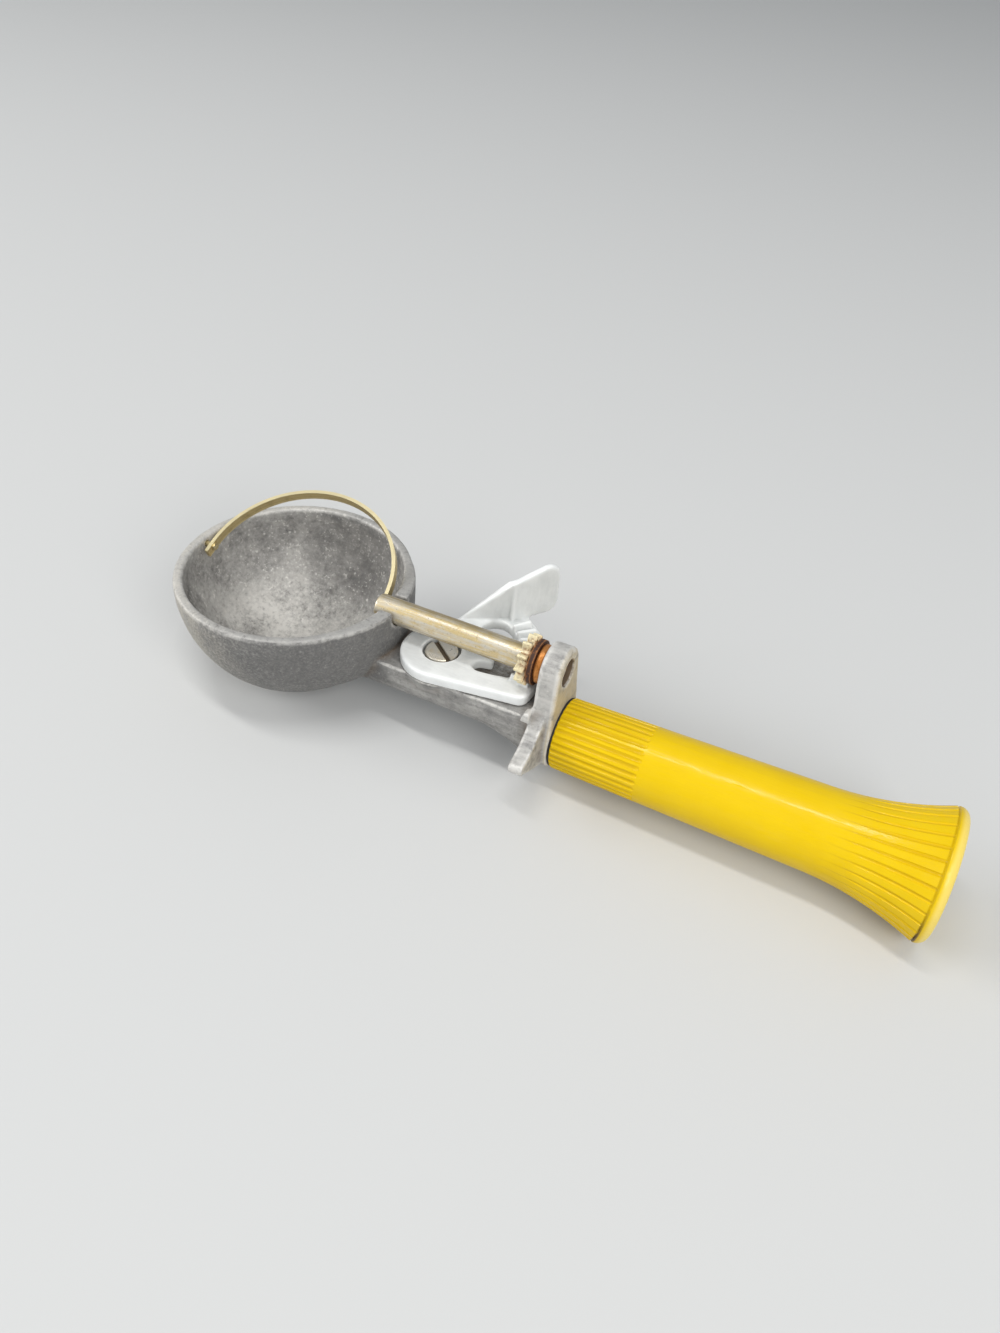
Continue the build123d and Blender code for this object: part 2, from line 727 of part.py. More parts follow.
def handle_grip():
    """The grooved plastic grip: a slim cone that flares to the butt, bored for the rod and its nut."""
    cone, flare = grip_outline()
    inside = Polyline(flare @ 1, (grip_end, 0), (grip_front, 0), cone @ 0)
    grip = revolve(Plane.XZ * make_face([cone, flare, inside]), Axis.X)
    rims = grip.edges().filter_by(GeomType.CIRCLE).sort_by(Axis.X)
    grip = chamfer(rims[-1], grip_end_chamfer)
    front_rim = grip.edges().filter_by(GeomType.CIRCLE).sort_by(Axis.X)[0]
    grip = fillet(front_rim, grip_front_round)
    turns = [Rot(360.0 * groove / groove_count, 0, 0) for groove in range(groove_count)]
    grip -= [turn * cutter for turn in turns for cutter in (front_groove(), rear_groove())]
    grip -= bar_x(rod_radius + rod_gap, grip_front - overrun, grip_end + overrun)
    grip -= bar_x(nut_pocket_radius, nut_seat, grip_end + overrun)
    return HANDLE * grip


def tang_rod():
    """The rod that ties the grip to the casting."""
    return HANDLE * bar_x(rod_radius, rod_start, rod_end)


def tang_washer():
    """The washer on the floor of the nut's pocket."""
    end = nut_seat + tang_washer_thickness
    return HANDLE * tube_x(tang_washer_radius, rod_radius + press_gap, nut_seat, end)


def tang_nut():
    """The six-sided nut on the rod."""
    start = nut_seat + tang_washer_thickness
    hexagon = Plane.YZ.offset(start) * RegularPolygon(nut_flats / 2, 6, major_radius=False)
    nut = extrude(hexagon, nut_height)
    return HANDLE * (nut - bar_x(rod_radius + press_gap, start - overrun, start + nut_height + overrun))


def butt_cap():
    """The smooth cap that closes the grip, with a plug into the nut's pocket."""
    cap = bar_x(grip_end_radius, grip_end, cap_end)
    cap = fillet(cap.edges().filter_by(GeomType.CIRCLE).sort_by(Axis.X)[-1], cap_edge_radius)
    cap = chamfer(cap.edges().filter_by(GeomType.CIRCLE).sort_by(Axis.X)[0], grip_end_chamfer)
    plug = bar_x(nut_pocket_radius - cap_plug_gap, grip_end - cap_plug_length, grip_end + overrun)
    return HANDLE * (cap + plug)


pieces = (
    frame_casting,
    scraper_shaft,
    scraper_band,
    front_pivot_rivet,
    pinion,
    pinion_cross_pin,
    steel_washer,
    lug_bush,
    thumb_lever,
    thrust_washer,
    pivot_sleeve,
    pivot_screw,
    return_spring,
    handle_ring,
    handle_grip,
    tang_rod,
    tang_washer,
    tang_nut,
    butt_cap,
)

os.makedirs("parts", exist_ok=True)
for piece in pieces:
    export_step(piece(), "parts/" + piece.__name__ + ".step")
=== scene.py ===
"""Ice cream scoop with a thumb lever: cast surfaces, finishes and a plain stage round the frame."""

import math
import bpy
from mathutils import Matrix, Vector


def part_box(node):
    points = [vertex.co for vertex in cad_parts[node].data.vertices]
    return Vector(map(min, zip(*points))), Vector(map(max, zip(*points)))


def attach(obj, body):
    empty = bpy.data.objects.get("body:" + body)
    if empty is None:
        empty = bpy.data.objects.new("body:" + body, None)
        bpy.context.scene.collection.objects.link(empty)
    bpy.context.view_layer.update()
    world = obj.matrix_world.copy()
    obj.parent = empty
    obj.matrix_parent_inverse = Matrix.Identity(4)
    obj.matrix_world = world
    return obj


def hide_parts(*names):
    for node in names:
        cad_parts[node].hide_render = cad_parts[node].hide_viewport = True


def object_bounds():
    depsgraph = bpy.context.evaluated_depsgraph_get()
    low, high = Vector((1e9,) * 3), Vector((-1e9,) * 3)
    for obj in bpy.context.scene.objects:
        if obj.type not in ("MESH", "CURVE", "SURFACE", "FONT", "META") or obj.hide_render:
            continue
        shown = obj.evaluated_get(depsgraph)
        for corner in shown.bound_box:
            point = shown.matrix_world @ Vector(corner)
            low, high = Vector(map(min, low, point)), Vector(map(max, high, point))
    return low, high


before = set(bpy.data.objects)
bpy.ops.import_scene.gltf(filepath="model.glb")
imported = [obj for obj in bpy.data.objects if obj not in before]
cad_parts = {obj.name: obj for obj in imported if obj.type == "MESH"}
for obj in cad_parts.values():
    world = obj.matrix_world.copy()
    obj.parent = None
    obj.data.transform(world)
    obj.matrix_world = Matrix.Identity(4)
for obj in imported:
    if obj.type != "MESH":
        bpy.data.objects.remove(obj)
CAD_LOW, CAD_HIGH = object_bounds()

from types import SimpleNamespace

import bpy
import numpy as np
from bpy.props import FloatProperty, FloatVectorProperty, PointerProperty
from mathutils import Quaternion, Vector, noise

bl_info = {
    "name": "Ice cream scoop",
    "version": (1, 0, 0),
    "blender": (4, 5, 0),
    "location": "3D View > Sidebar > Scoop",
    "description": "Gives the packed scoop its cast surfaces and worn finishes on a plain stage",
    "category": "Object",
}

IMAGE_WIDTH = 1000
IMAGE_HEIGHT = 1333
CLIP_START = 0.01
FLOOR_REACH = 3.0

# Each lamp's name, the property with its power, its size and its place
LAMPS = (
    ("top_light", "key_power", (1.0, 0.12), (0.03, -0.25, 1.55)),
    ("left_light", "left_power", (1.0, 0.7), (-1.15, -0.55, 0.65)),
    ("right_light", "right_power", (0.8, 0.8), (0.95, -0.75, 0.8)),
)

# Sizes that the surfaces share with the part's source, in metres and radians
MM = 0.001
BOWL_INNER = 28.0 * MM
PIVOT_X = 43.5 * MM
LEVER_TOP = -6.83 * MM
PADDLE_TURN = math.radians(54.0)
PADDLE_FOOT = Vector((56.88, 22.99, 0.0)) * MM
BAND_TILT = math.radians(22.5)
HANDLE_Z = -19.3 * MM
GRIP_END = 168.55 * MM
GROOVES = 32

# Zones of the softened casting, each from where it begins to where it is full
BOWL_OUTSIDE = (BOWL_INNER + 1.4 * MM, BOWL_INNER + 2.2 * MM)
BELOW_RIM = (-3 * MM, -6 * MM)
BUSH_CLEAR = (4.4 * MM, 5.4 * MM)
SCREW_CLEAR = (7.0 * MM, 7.6 * MM)
ROD_CLEAR = (3.2 * MM, 3.8 * MM)
SHOULDER_HEIGHT = (-2 * MM, -6 * MM)
SHOULDER_REACH = (36 * MM, 33 * MM)
SHOULDER_SIDE = (10 * MM, 13 * MM)
UNEVEN_WALL = (BOWL_INNER - 1 * MM, BOWL_INNER + 0.6 * MM)

# Zones of the softened lever, those of the blend counted from the paddle's foot
TEETH_INNER = (19.2 * MM, 19.8 * MM)
TEETH_OUTER = (25.9 * MM, 25.3 * MM)
TEETH_HEIGHT = (LEVER_TOP - 0.6 * MM, LEVER_TOP)
TEETH_SIDE = (21.5 * MM, 20 * MM)
HUB_CLEAR = (5.3 * MM, 6.2 * MM)
ABOVE_PLATE = (LEVER_TOP - 0.5 * MM, LEVER_TOP + 0.5 * MM)
BLEND_NEAR = (-6 * MM, -3.5 * MM)
BLEND_FAR = (3 * MM, 1 * MM)
BLEND_FOOT = (0.4 * MM, 1.5 * MM)
BLEND_TOP = (11 * MM, 8.5 * MM)
ARM_OUTER = (13 * MM, 17 * MM)

# The pinion's zone outside its bore, and the share of its crust's height that is sunk
PINION_CLEAR = (3.3 * MM, 3.7 * MM)
CRUST_SINK_SHARE = 0.45

# Waves on each cast surface: share of the height, size and seed, and the share left in the bowl
BOWL_WAVE_SHARE = 0.25
CASTING_WAVES = ((0.65, 4.5 * MM, 3.1), (0.35, 1.3 * MM, 7.7))
LEVER_WAVES = ((1.0, 2.6 * MM, 5.3),)
PINION_WAVES = ((0.6, 0.9 * MM, 4.1), (0.4, 0.4 * MM, 8.3))

# How far round each point its edge or hollow is judged, and how strongly it counts
CASTING_EDGE_REACH = 0.9 * MM
LEVER_EDGE_REACH = 0.7 * MM
PINION_EDGE_REACH = 0.4 * MM
EDGE_GAIN = 4

# Zones of the casting's finish, each from where it begins to where it is full
BOWL_INSIDE = (28.9 * MM, 28.3 * MM)
BOWL_AROUND = (34 * MM, 32 * MM)
RIM_EDGE = (1.8 * MM, 2.05 * MM)
NECK_START = (31 * MM, 36 * MM)
LUG_START = (69 * MM, 73 * MM)
LUG_REAR = (76.6 * MM, 77.3 * MM)
LUG_BORE = (3.75 * MM, 3.55 * MM)
# Painted light: the bowl's outside warm and pale towards the front, where light falls from the left
PAINTED_WARM_LIGHT_FRONT = (10 * MM, -24 * MM)
PAINTED_LIGHT_FRONT = (6 * MM, -26 * MM)
SHADE_REAR = (-10 * MM, 18 * MM)
SHADE_HEIGHT = (-26 * MM, -8 * MM)
# Painted light inside the bowl, towards the front and the floor
PAINTED_LIGHT_INSIDE_FRONT = (5 * MM, -22 * MM)
PAINTED_LIGHT_INSIDE_FLOOR = (-13 * MM, -24 * MM)
# Painted shade in the neck's well under the lever
WELL_FLOOR = (-11.2 * MM, -10.4 * MM)
WELL_FRONT = (36 * MM, 46 * MM)
WELL_REAR = (70 * MM, 64 * MM)
WELL_SIDE = (8 * MM, 5 * MM)

# Zones of the other finishes
BAND_FACE = (25.9 * MM, 25.75 * MM)
BAND_EDGE = (1.0 * MM, 1.22 * MM)
# Painted dark reflection along the shaft's upper far side and its underside
PAINTED_REFLECTION_TOP = (1.7 * MM, 2.9 * MM)
PAINTED_REFLECTION_UNDER = (-2.1 * MM, -3.0 * MM)
PINION_REAR = (66.8 * MM, 68.9 * MM)
WASHER_RIM = (5.4 * MM, 5.65 * MM)
WASHER_FRONT = (69.1 * MM, 68.85 * MM)
WASHER_REAR = (69.8 * MM, 70.05 * MM)
BUSH_SHADED_UNDERSIDE = (0.5 * MM, -4.5 * MM)
SCREW_SLOT = (-0.45 * MM, -0.85 * MM)
FRONT_GROOVES = (100.6 * MM, 99 * MM)
REAR_GROOVES = (143 * MM, 152 * MM)
HANDLE_UNDER = (HANDLE_Z + 6 * MM, HANDLE_Z - 8 * MM)
GRIP_SEAM = (GRIP_END - 0.5 * MM, GRIP_END - 0.2 * MM)
CAP_SEAM = (GRIP_END + 0.5 * MM, GRIP_END + 0.2 * MM)
CAP_RUB = (GRIP_END + 0.4 * MM, GRIP_END + 1.6 * MM)

# Half widths of the handle's grooves, as shares of their spacing
FRONT_GROOVE_SHARES = (0.36, 0.08)
REAR_GROOVE_SHARES = (0.13, 0.03)

# Directions that a place is measured along: aslant through the shaft, and across the band
SHAFT_ASLANT = (0, 0.64, 0.77)
BAND_ACROSS = (0, -math.sin(BAND_TILT), math.cos(BAND_TILT))

# Size of the clouds on each steel finish
STEEL_CLOUDS = {
    "plain_steel": 1.6 * MM,
    "plain_steel_pin": 0.8 * MM,
    "spring_steel": 1.0 * MM,
    "rod_steel": 2.0 * MM,
}

# Coordinates that a distance from an axis keeps
ACROSS_X = (0, 1, 1)
ACROSS_Z = (1, 1, 0)

# Sockets of a Mix node that blends colours
MIX_SHARE, MIX_FIRST, MIX_SECOND, MIX_RESULT = 0, 6, 7, 2


class ScoopSizes(bpy.types.PropertyGroup):
    """Lengths of the cast surfaces."""

    casting_voxel: FloatProperty(
        name="Casting mesh",
        description="Mesh width of the bowl and neck casting",
        default=0.00034,
        unit="LENGTH",
    )
    casting_edge: FloatProperty(
        name="Casting edge",
        description="How far the casting's edges are softened all over",
        default=0.0003,
        unit="LENGTH",
    )
    casting_fillet: FloatProperty(
        name="Casting fillet",
        description="How far the inside corners between bowl, neck, lug and guard are filled",
        default=0.0009,
        unit="LENGTH",
    )
    bowl_blend: FloatProperty(
        name="Bowl blend",
        description="How far the shoulder of the shaft's boss is blended into the bowl",
        default=0.002,
        unit="LENGTH",
    )
    casting_wave: FloatProperty(
        name="Casting unevenness",
        description="Height of the waves that the mould left on the casting",
        default=0.00007,
        unit="LENGTH",
    )
    lever_voxel: FloatProperty(
        name="Lever mesh",
        description="Mesh width of the thumb lever",
        default=0.0002,
        unit="LENGTH",
    )
    lever_edge: FloatProperty(
        name="Lever edge",
        description="How far the lever's edges are softened all over",
        default=0.0002,
        unit="LENGTH",
    )
    lever_round: FloatProperty(
        name="Lever rounding",
        description="How far the plate and the paddle are softened, but not the teeth or the bore",
        default=0.0004,
        unit="LENGTH",
    )
    lever_sweep: FloatProperty(
        name="Lever sweep",
        description="How far the inside corners between arm, ramp and thumb paddle are filled",
        default=0.0016,
        unit="LENGTH",
    )
    paddle_blend: FloatProperty(
        name="Paddle blend",
        description="How far the ramp is blended into the thumb paddle's near face",
        default=0.002,
        unit="LENGTH",
    )
    paddle_round: FloatProperty(
        name="Paddle rounding",
        description="How far the edges of the arm, the ramp and the thumb paddle are rounded",
        default=0.0006,
        unit="LENGTH",
    )
    lever_wave: FloatProperty(
        name="Lever unevenness",
        description="Height of the waves on the lever's cast faces",
        default=0.000025,
        unit="LENGTH",
    )
    pinion_voxel: FloatProperty(
        name="Pinion mesh",
        description="Mesh width of the pinion",
        default=0.00012,
        unit="LENGTH",
    )
    pinion_wear: FloatProperty(
        name="Pinion wear",
        description="How far the pinion's teeth are rounded",
        default=0.00027,
        unit="LENGTH",
    )
    pinion_crust: FloatProperty(
        name="Pinion crust",
        description="Height of the crust on the pinion",
        default=0.00018,
        unit="LENGTH",
    )


class ScoopColours(bpy.types.PropertyGroup):
    """Colours of the finishes."""

    # Also paints shade on the bowl's outside towards the rear
    oxide: FloatVectorProperty(
        name="Oxidised aluminium",
        description="Dark grey of the casting's mottles",
        default=(0.135, 0.132, 0.128),
        subtype="COLOR",
    )
    aluminium: FloatVectorProperty(
        name="Cast aluminium",
        description="Middle grey of the casting",
        default=(0.27, 0.262, 0.248),
        subtype="COLOR",
    )
    # Also paints light on the bowl: its outside paler and its inside lighter towards the front and the
    # floor
    worn_aluminium: FloatVectorProperty(
        name="Worn aluminium",
        description="Light grey of rubbed rims and edges",
        default=(0.66, 0.64, 0.60),
        subtype="COLOR",
    )
    # Also paints warm light on the bowl's outside towards the front
    stain: FloatVectorProperty(
        name="Stain",
        description="Cream stain beside the handle and at the bowl's front",
        default=(0.56, 0.46, 0.27),
        subtype="COLOR",
    )
    zinc: FloatVectorProperty(
        name="Zinc",
        description="Light grey of the thumb lever",
        default=(0.74, 0.75, 0.735),
        subtype="COLOR",
    )
    dull_zinc: FloatVectorProperty(
        name="Dull zinc",
        description="Darker clouds and corners of the thumb lever",
        default=(0.44, 0.45, 0.44),
        subtype="COLOR",
    )
    pale_zinc: FloatVectorProperty(
        name="Rubbed zinc",
        description="Pale edges of the thumb lever",
        default=(0.86, 0.865, 0.845),
        subtype="COLOR",
    )
    brass: FloatVectorProperty(
        name="Brass",
        description="Brass of the band and the rivet, and under worn plating",
        default=(0.60, 0.45, 0.19),
        subtype="COLOR",
    )
    pale_brass: FloatVectorProperty(
        name="Rubbed brass",
        description="Pale brass on rubbed edges and on the pinion",
        default=(0.80, 0.70, 0.43),
        subtype="COLOR",
    )
    # On the shaft this colour also paints a dark reflection along its upper and lower sides
    dark_brass: FloatVectorProperty(
        name="Tarnished brass",
        description="Brown film on the brass pieces and the shaft",
        default=(0.16, 0.115, 0.05),
        subtype="COLOR",
    )
    nickel: FloatVectorProperty(
        name="Nickel",
        description="Plating of the shaft and of the pivot screw",
        default=(0.66, 0.62, 0.54),
        subtype="COLOR",
    )
    rust: FloatVectorProperty(
        name="Rust",
        description="Orange rust on the pinion, the washer and the bush",
        default=(0.44, 0.16, 0.035),
        subtype="COLOR",
    )
    # On the bush this colour also paints shade towards its underside
    dark_rust: FloatVectorProperty(
        name="Dark rust",
        description="Brown rust on the washer, and in patches on other pieces",
        default=(0.05, 0.022, 0.014),
        subtype="COLOR",
    )
    crust: FloatVectorProperty(
        name="Crust",
        description="Pale crust on the pinion",
        default=(0.64, 0.56, 0.38),
        subtype="COLOR",
    )
    # On the washer's rim this colour is a painted highlight
    copper: FloatVectorProperty(
        name="Copper",
        description="The flanged bush, and the washer's rubbed rim",
        default=(0.66, 0.29, 0.09),
        subtype="COLOR",
    )
    steel: FloatVectorProperty(
        name="Steel",
        description="Plain steel of the pieces inside",
        default=(0.40, 0.39, 0.38),
        subtype="COLOR",
    )
    yellow: FloatVectorProperty(
        name="Yellow plastic",
        description="The handle's own colour",
        default=(0.67, 0.445, 0.0015),
        subtype="COLOR",
    )
    worn_yellow: FloatVectorProperty(
        name="Worn yellow",
        description="Rubbed edges of the handle",
        default=(0.76, 0.54, 0.01),
        subtype="COLOR",
    )
    pale_yellow: FloatVectorProperty(
        name="Pale yellow",
        description="Rubbed rim of the cap",
        default=(0.84, 0.66, 0.17),
        subtype="COLOR",
    )
    # Darkens the handle's grooves
    ochre: FloatVectorProperty(
        name="Ochre",
        description="Thin dirt in the handle's grooves",
        default=(0.36, 0.19, 0.003),
        subtype="COLOR",
    )
    # Also paints shade in the neck's well, and darkens the casting's hollows, the lug's bore and the
    # screw's slot
    dirt: FloatVectorProperty(
        name="Dirt",
        description="Brown dirt in seams, hollows and the screw's slot",
        default=(0.085, 0.045, 0.012),
        subtype="COLOR",
    )
    black: FloatVectorProperty(
        name="Black fibre",
        description="The ring in front of the handle",
        default=(0.014, 0.013, 0.013),
        subtype="COLOR",
    )


class ScoopStage(bpy.types.PropertyGroup):
    """Floor, light and camera."""

    floor: FloatVectorProperty(
        name="Floor",
        description="Colour of the plain floor",
        default=(0.55, 0.55, 0.54),
        subtype="COLOR",
    )
    sky: FloatVectorProperty(
        name="Surroundings",
        description="Colour of the soft light from all round",
        default=(0.92, 0.96, 1.0),
        subtype="COLOR",
    )
    sky_level: FloatProperty(
        name="Surrounding level",
        description="Strength of the soft light from all round",
        default=0.45,
    )
    key_power: FloatProperty(
        name="Top light",
        description="Power of the long soft light above the scoop",
        default=9.0,
        unit="POWER",
    )
    left_power: FloatProperty(
        name="Left light",
        description="Power of the soft low light at the left",
        default=12.5,
        unit="POWER",
    )
    right_power: FloatProperty(
        name="Right light",
        description="Power of the soft light at the front right",
        default=12.0,
        unit="POWER",
    )
    eye: FloatVectorProperty(
        name="Camera place",
        description="Where the camera stands",
        default=(0.1398, -0.1815, 0.1632),
        subtype="TRANSLATION",
        unit="LENGTH",
    )
    azimuth: FloatProperty(
        name="Azimuth",
        description="How far the camera stands to the right of straight ahead",
        default=math.radians(23.8),
        subtype="ANGLE",
    )
    elevation: FloatProperty(
        name="Elevation",
        description="How far the camera looks down",
        default=math.radians(40.4),
        subtype="ANGLE",
    )
    roll: FloatProperty(
        name="Roll",
        description="How far the camera leans to its left",
        default=math.radians(4.1),
        subtype="ANGLE",
    )
    focal: FloatProperty(
        name="Focal length in pixels",
        description="Focal length of the view, in pixels of the picture",
        default=1061.5,
        subtype="PIXEL",
    )


class Value:
    """A quantity that changes over a surface. Arithmetic on numbers adds Math nodes to its finish."""

    def __init__(self, finish, socket):
        self.finish = finish
        self.socket = socket

    def maths(self, operation, *terms):
        return self.finish.node("ShaderNodeMath", {"operation": operation}, dict(enumerate(terms)))

    def __add__(self, other):
        return self.maths("ADD", self, other)

    def __sub__(self, other):
        return self.maths("SUBTRACT", self, other)

    def __rsub__(self, other):
        return self.maths("SUBTRACT", other, self)

    def __mul__(self, other):
        return self.maths("MULTIPLY", self, other)

    def __truediv__(self, other):
        return self.maths("DIVIDE", self, other)

    def __abs__(self):
        return self.maths("ABSOLUTE", self)

    __radd__ = __add__
    __rmul__ = __mul__

    def step(self, low, high):
        """Rises smoothly from 0 at low to 1 at high, and falls where low is the greater."""
        return self.finish.node(
            "ShaderNodeMapRange",
            {"interpolation_type": "SMOOTHSTEP"},
            {"Value": self, "From Min": low, "From Max": high},
        )

    def either(self, other):
        """The greater of two values."""
        return self.maths("MAXIMUM", self, other)


def socket_name(keyword):
    """The name of the shader's socket that a keyword stands for."""
    return keyword.replace("_", " ").title().replace("Ior", "IOR")


class Finish:
    """One procedural material, built round a Principled shader."""

    def __init__(self, name, **plain):
        self.material = bpy.data.materials.new(name)
        self.material.use_nodes = True
        self.tree = self.material.node_tree
        self.shader = self.tree.nodes["Principled BSDF"]
        for socket, value in plain.items():
            self.shader.inputs[socket_name(socket)].default_value = value
        self.place = self.node("ShaderNodeTexCoord", {}, {}, "Object")

    def node(self, kind, settings, sockets, output=0):
        """Any node: its type, its settings, and the values or links of its sockets."""
        node = self.tree.nodes.new(kind)
        for name, value in settings.items():
            setattr(node, name, value)
        for key, value in sockets.items():
            if isinstance(value, Value):
                self.tree.links.new(value.socket, node.inputs[key])
            else:
                node.inputs[key].default_value = value
        return Value(self, node.outputs[output])

    def vector(self, operation, first, second, output=0):
        """Arithmetic on two places."""
        sockets = {0: first, 1: second}
        return self.node("ShaderNodeVectorMath", {"operation": operation}, sockets, output)

    def length(self, place):
        """How far a place is from the origin."""
        return self.vector("LENGTH", place, (0, 0, 0), "Value")

    def from_axis(self, place, kept):
        """How far a place is from an axis through the origin, by the coordinates kept."""
        return self.length(self.vector("MULTIPLY", place, kept))

    def axes(self, place=None):
        """The three coordinates of a place, each a number."""
        split = self.node("ShaderNodeSeparateXYZ", {}, {0: place or self.place})
        return [Value(self, socket) for socket in split.socket.node.outputs]

    def joined(self, *numbers):
        """A place with these coordinates, and 0 for the rest."""
        return self.node("ShaderNodeCombineXYZ", {}, dict(enumerate(numbers)))

    def noise(self, size, detail, roughness, place=None):
        """Soft noise whose features are about this size."""
        sockets = {
            "Vector": place or self.place,
            "Scale": 1.0 / size,
            "Detail": detail,
            "Roughness": roughness,
        }
        return self.node("ShaderNodeTexNoise", {}, sockets)

    def streaks(self, sizes, detail, roughness):
        """Soft noise whose features have a size along each axis."""
        place = self.vector("MULTIPLY", self.place, tuple(1.0 / size for size in sizes))
        return self.noise(1.0, detail, roughness, place)

    def attribute(self, name):
        """A number that the mesh carries at each point."""
        return self.node("ShaderNodeAttribute", {"attribute_name": name}, {}, "Fac")

    def mix(self, share, first, second):
        """A colour between two colours."""
        ends = [end if isinstance(end, Value) else (*end, 1.0) for end in (first, second)]
        sockets = {MIX_SHARE: share, MIX_FIRST: ends[0], MIX_SECOND: ends[1]}
        return self.node("ShaderNodeMix", {"data_type": "RGBA"}, sockets, MIX_RESULT)

    def bump(self, height, depth, strength):
        """A relief from a height of 0 to 1, with a depth in metres."""
        sockets = {"Height": height, "Distance": depth, "Strength": strength}
        return self.node("ShaderNodeBump", {}, sockets)

    def give(self, **surface):
        """Links what varies to the shader's sockets, and returns the material."""
        for socket, value in surface.items():
            self.tree.links.new(value.socket, self.shader.inputs[socket_name(socket)])
        return self.material


def tones(context):
    """The colours as plain tuples by name."""
    group = context.scene.scoop_colours
    return {key: tuple(getattr(group, key)) for key in ScoopColours.__annotations__}


def cad_node(name):
    """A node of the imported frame, which has to be there."""
    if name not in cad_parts:
        raise RuntimeError("the packed frame has no node named " + name)
    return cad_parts[name]


def dress(material, *names):
    """Gives CAD nodes their finish."""
    for name in names:
        node = cad_node(name)
        if not node.material_slots:
            node.data.materials.append(material)
        for slot in node.material_slots:
            slot.material = material


def neighbour_mean(values, edges):
    """The mean over each point's neighbours."""
    count = len(values)
    first, second = edges.T
    total = np.bincount(first, minlength=count) + np.bincount(second, minlength=count)
    columns = [
        np.bincount(first, column[second], count) + np.bincount(second, column[first], count)
        for column in values.T
    ]
    return np.stack(columns, axis=1) / total[:, None]


def blurred(points, edges, rounds, share):
    """Points moved towards their neighbours, each by its share, for a number of rounds."""
    for _ in range(rounds):
        points = points + share[:, None] * (neighbour_mean(points, edges) - points) / 2
    return points


def step(values, low, high):
    """Rises smoothly from 0 at low to 1 at high, and falls where low is the greater."""
    share = np.clip((values - low) / (high - low), 0.0, 1.0)
    return share * share * (3 - 2 * share)


def wave(points, size, seed):
    """Soft noise between -1 and 1 at each point, with features of this size."""
    shift = Vector((seed, 2 * seed, 3 * seed))
    return np.array([noise.noise(Vector(point) / size + shift) for point in points])


def waves(points, parts):
    """The sum of several waves, each with its share, size and seed."""
    return sum(share * wave(points, size, seed) for share, size, seed in parts)


def mesh_field(rows, field, width, kind=float):
    """One field of a mesh's points or edges as an array."""
    values = np.empty(len(rows) * width, dtype=kind)
    rows.foreach_get(field, values)
    return values.reshape(-1, width)


def cast_mesh(node, voxel):
    """A fine even mesh of a CAD node, as a new mesh."""
    copy = bpy.data.objects.new("pattern", cad_node(node).data.copy())
    bpy.context.scene.collection.objects.link(copy)
    remesh = copy.modifiers.new("skin", "REMESH")
    remesh.mode = "VOXEL"
    remesh.voxel_size = voxel
    graph = bpy.context.evaluated_depsgraph_get()
    mesh = bpy.data.meshes.new_from_object(copy.evaluated_get(graph))
    bpy.data.objects.remove(copy)
    if not mesh.vertices:
        raise RuntimeError("no skin could be made of " + node)
    return mesh


class Skin:
    """A fine mesh of a CAD node that is softened, roughened and put in the node's place."""

    def __init__(self, node, voxel):
        self.node = node
        self.voxel = voxel
        self.mesh = cast_mesh(node, voxel)
        self.points = mesh_field(self.mesh.vertices, "co", 3)
        self.edges = mesh_field(self.mesh.edges, "vertices", 2, np.int32)

    def rounds(self, reach):
        """Rounds of softening that blur the skin over this reach."""
        return max(1, round(4 * reach * reach / (self.voxel * self.voxel)))

    def write(self):
        """Moves the mesh to the points as they now are."""
        self.mesh.vertices.foreach_set("co", self.points.ravel())
        self.mesh.update()

    def normals(self):
        """The normals at the points as they now are."""
        self.write()
        return mesh_field(self.mesh.vertices, "normal", 3)

    def soften(self, reach, share):
        """Blurs the skin over a reach, each point by its share."""
        self.points = blurred(self.points, self.edges, self.rounds(reach), share)

    def soften_all(self, reach):
        """Blurs the whole skin over a reach."""
        self.soften(reach, np.ones(len(self.points)))

    def fill_corners(self, reach, share):
        """Softens over a reach, but only where that fills an inside corner."""
        normals = self.normals()
        for _ in range(self.rounds(reach)):
            move = neighbour_mean(self.points, self.edges) - self.points
            outward = np.clip((move * normals).sum(axis=1), 0.0, None) * share / 2
            self.points = self.points + normals * outward[:, None]

    def lift(self, height):
        """Moves each point along its normal."""
        self.points = self.points + self.normals() * height[:, None]

    def note_edges(self, reach):
        """Keeps at each point how far it stands out of, or lies in, its surroundings."""
        normals = self.normals()
        points = mesh_field(self.mesh.vertices, "co", 3)
        mean = blurred(points, self.edges, self.rounds(reach), np.ones(len(points)))
        stand = ((points - mean) * normals).sum(axis=1) / reach
        for name, values in (("edge", stand), ("hollow", -stand)):
            layer = self.mesh.attributes.new(name, "FLOAT", "POINT")
            shares = np.clip(values * EDGE_GAIN, 0.0, 1.0)
            layer.data.foreach_set("value", shares.astype(np.float32))

    def put(self, name, body, material):
        """Puts the skin into the scene in place of the CAD node."""
        self.write()
        mesh = self.mesh
        mesh.name = name
        mesh.polygons.foreach_set("use_smooth", np.ones(len(mesh.polygons), dtype=bool))
        mesh.materials.clear()
        mesh.materials.append(material)
        piece = bpy.data.objects.new(name, mesh)
        bpy.context.scene.collection.objects.link(piece)
        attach(piece, body)
        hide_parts(self.node)


